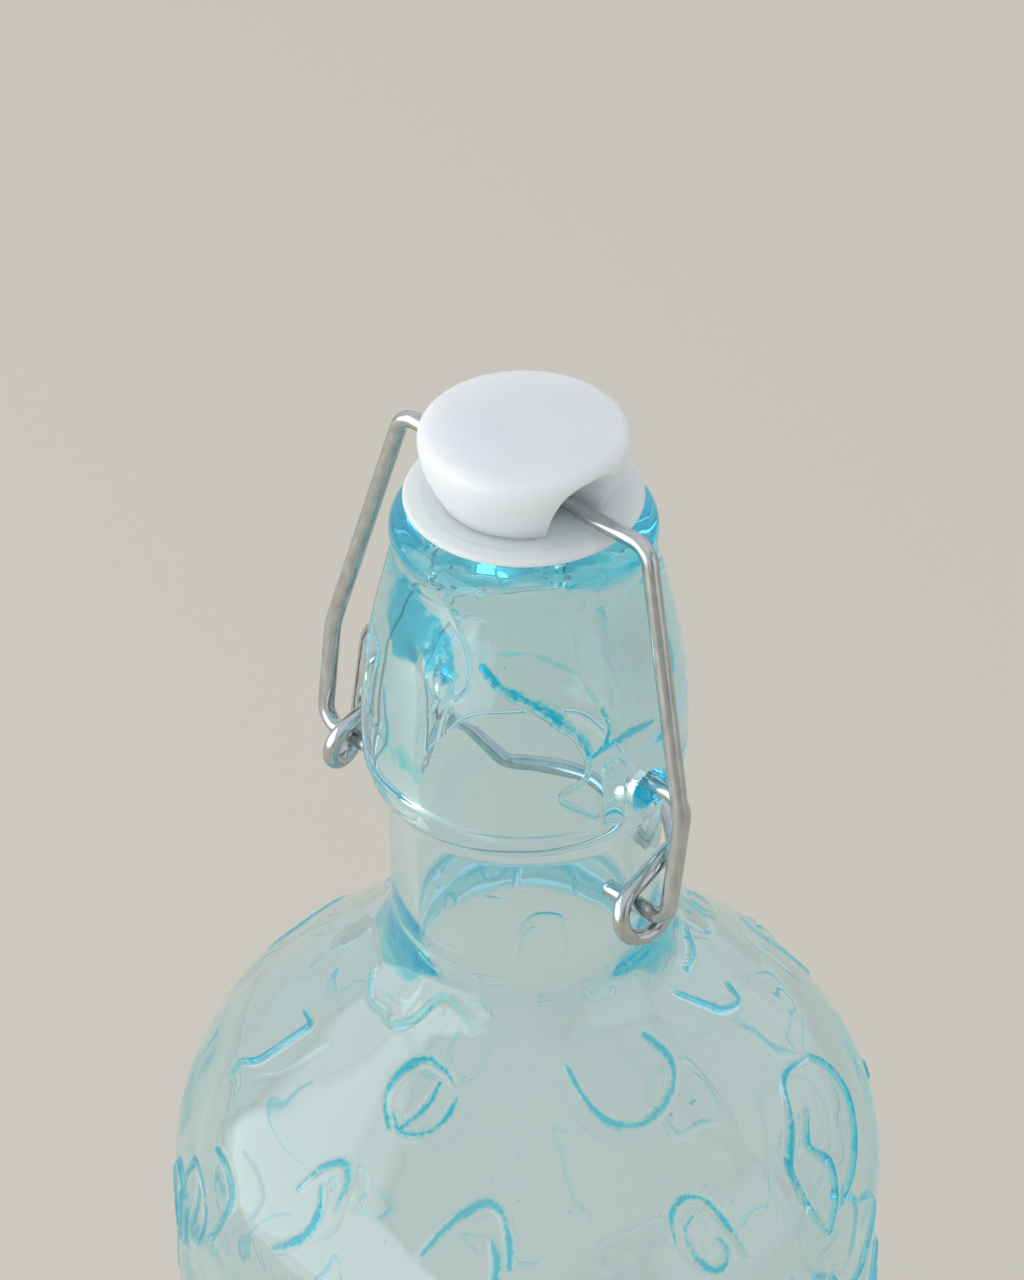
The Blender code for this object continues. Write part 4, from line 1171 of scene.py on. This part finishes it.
# Room light
# A pale room, brighter overhead, and darker in one corner behind the camera on the right.
DARK_CORNER = math.radians(52)
ROOM_COLOUR = (0.93, 0.96, 1.0, 1)
flat_back = Vector((back.x, back.y, 0)).normalized()
dark_way = flat_back * math.cos(DARK_CORNER) + level * math.sin(DARK_CORNER)
world = bpy.data.worlds.new("room")
bpy.context.scene.world = world
world.use_nodes = True
room = world.node_tree
room_way = add_node(room, "TexCoord", {}).outputs["Generated"]
to_corner = room.nodes.new("ShaderNodeVectorMath")
to_corner.operation = "DOT_PRODUCT"
fill_in(room, to_corner, {0: room_way, 1: dark_way})
corner_light = spread_over(room, to_corner.outputs["Value"], 0.6, 0.95, 1.0, 0.2)
height = add_node(room, "SeparateXYZ", {0: room_way}).outputs["Z"]
overhead = spread_over(room, height, 0.0, 1.0, 0.745, 0.9)
room_strength = worked_out(room, "MULTIPLY", corner_light, overhead)
fill_in(room, room.nodes["Background"], {"Color": ROOM_COLOUR, "Strength": room_strength})

# Window light
# A big soft window on the left, reaching round behind the camera, and a paler card on the right. Both fade
# towards their edges and hang out of sight.
PANE_COLOUR = (0.92, 0.97, 1.0, 1)
PANE_AIM = Vector((0, 0, 0.18))


def soft_pane(name, around, climb, distance, width, height, strength, fade, roll=0.0):
    """Glowing sheet at a bearing from the bottle: degrees right of the view's far side, and degrees up."""
    angle, rise = math.radians(around), math.radians(climb)
    way = (level * math.sin(angle) - flat_back * math.cos(angle)) * math.cos(rise)
    way.z += math.sin(rise)
    pane = flat_sheet(name, 0.5)
    pane.matrix_world = (
        Matrix.Translation(PANE_AIM + way * distance)
        @ way.to_track_quat("Z", "Y").to_matrix().to_4x4()
        @ Matrix.Rotation(math.radians(roll), 4, "Z")
        @ Matrix.Diagonal((width, height, 1, 1))
    )
    pane.visible_camera = False
    pane.visible_shadow = False
    glow, tree, spare_shader = new_finish(name)
    tree.nodes.remove(spare_shader)
    on_pane = add_node(tree, "SeparateXYZ", {0: on_piece(tree)})
    shares = []
    for axis in ("X", "Y"):
        from_middle = worked_out(tree, "ABSOLUTE", on_pane.outputs[axis], 0)
        shares.append(spread_over(tree, from_middle, 0.5 - fade, 0.5, 1.0, 0.0))
    glowing = worked_out(tree, "MULTIPLY", worked_out(tree, "MULTIPLY", *shares), strength)
    light = add_node(tree, "Emission", {"Color": PANE_COLOUR, "Strength": glowing})
    fill_in(tree, tree.nodes["Material Output"], {"Surface": light.outputs["Emission"]})
    pane.data.materials.append(glow)


soft_pane("window", -108, 12, 1.1, 2.1, 1.3, 2.4, 0.09, roll=-20)
soft_pane("card", 115, 12, 1.2, 1.3, 1.0, 0.95, 0.12)

bpy.context.scene.view_settings.view_transform = "Standard"
bpy.context.scene.cycles.max_bounces = 256
bpy.context.scene.cycles.transmission_bounces = 256
bpy.context.scene.cycles.glossy_bounces = 256
bpy.context.scene.cycles.transparent_max_bounces = 32
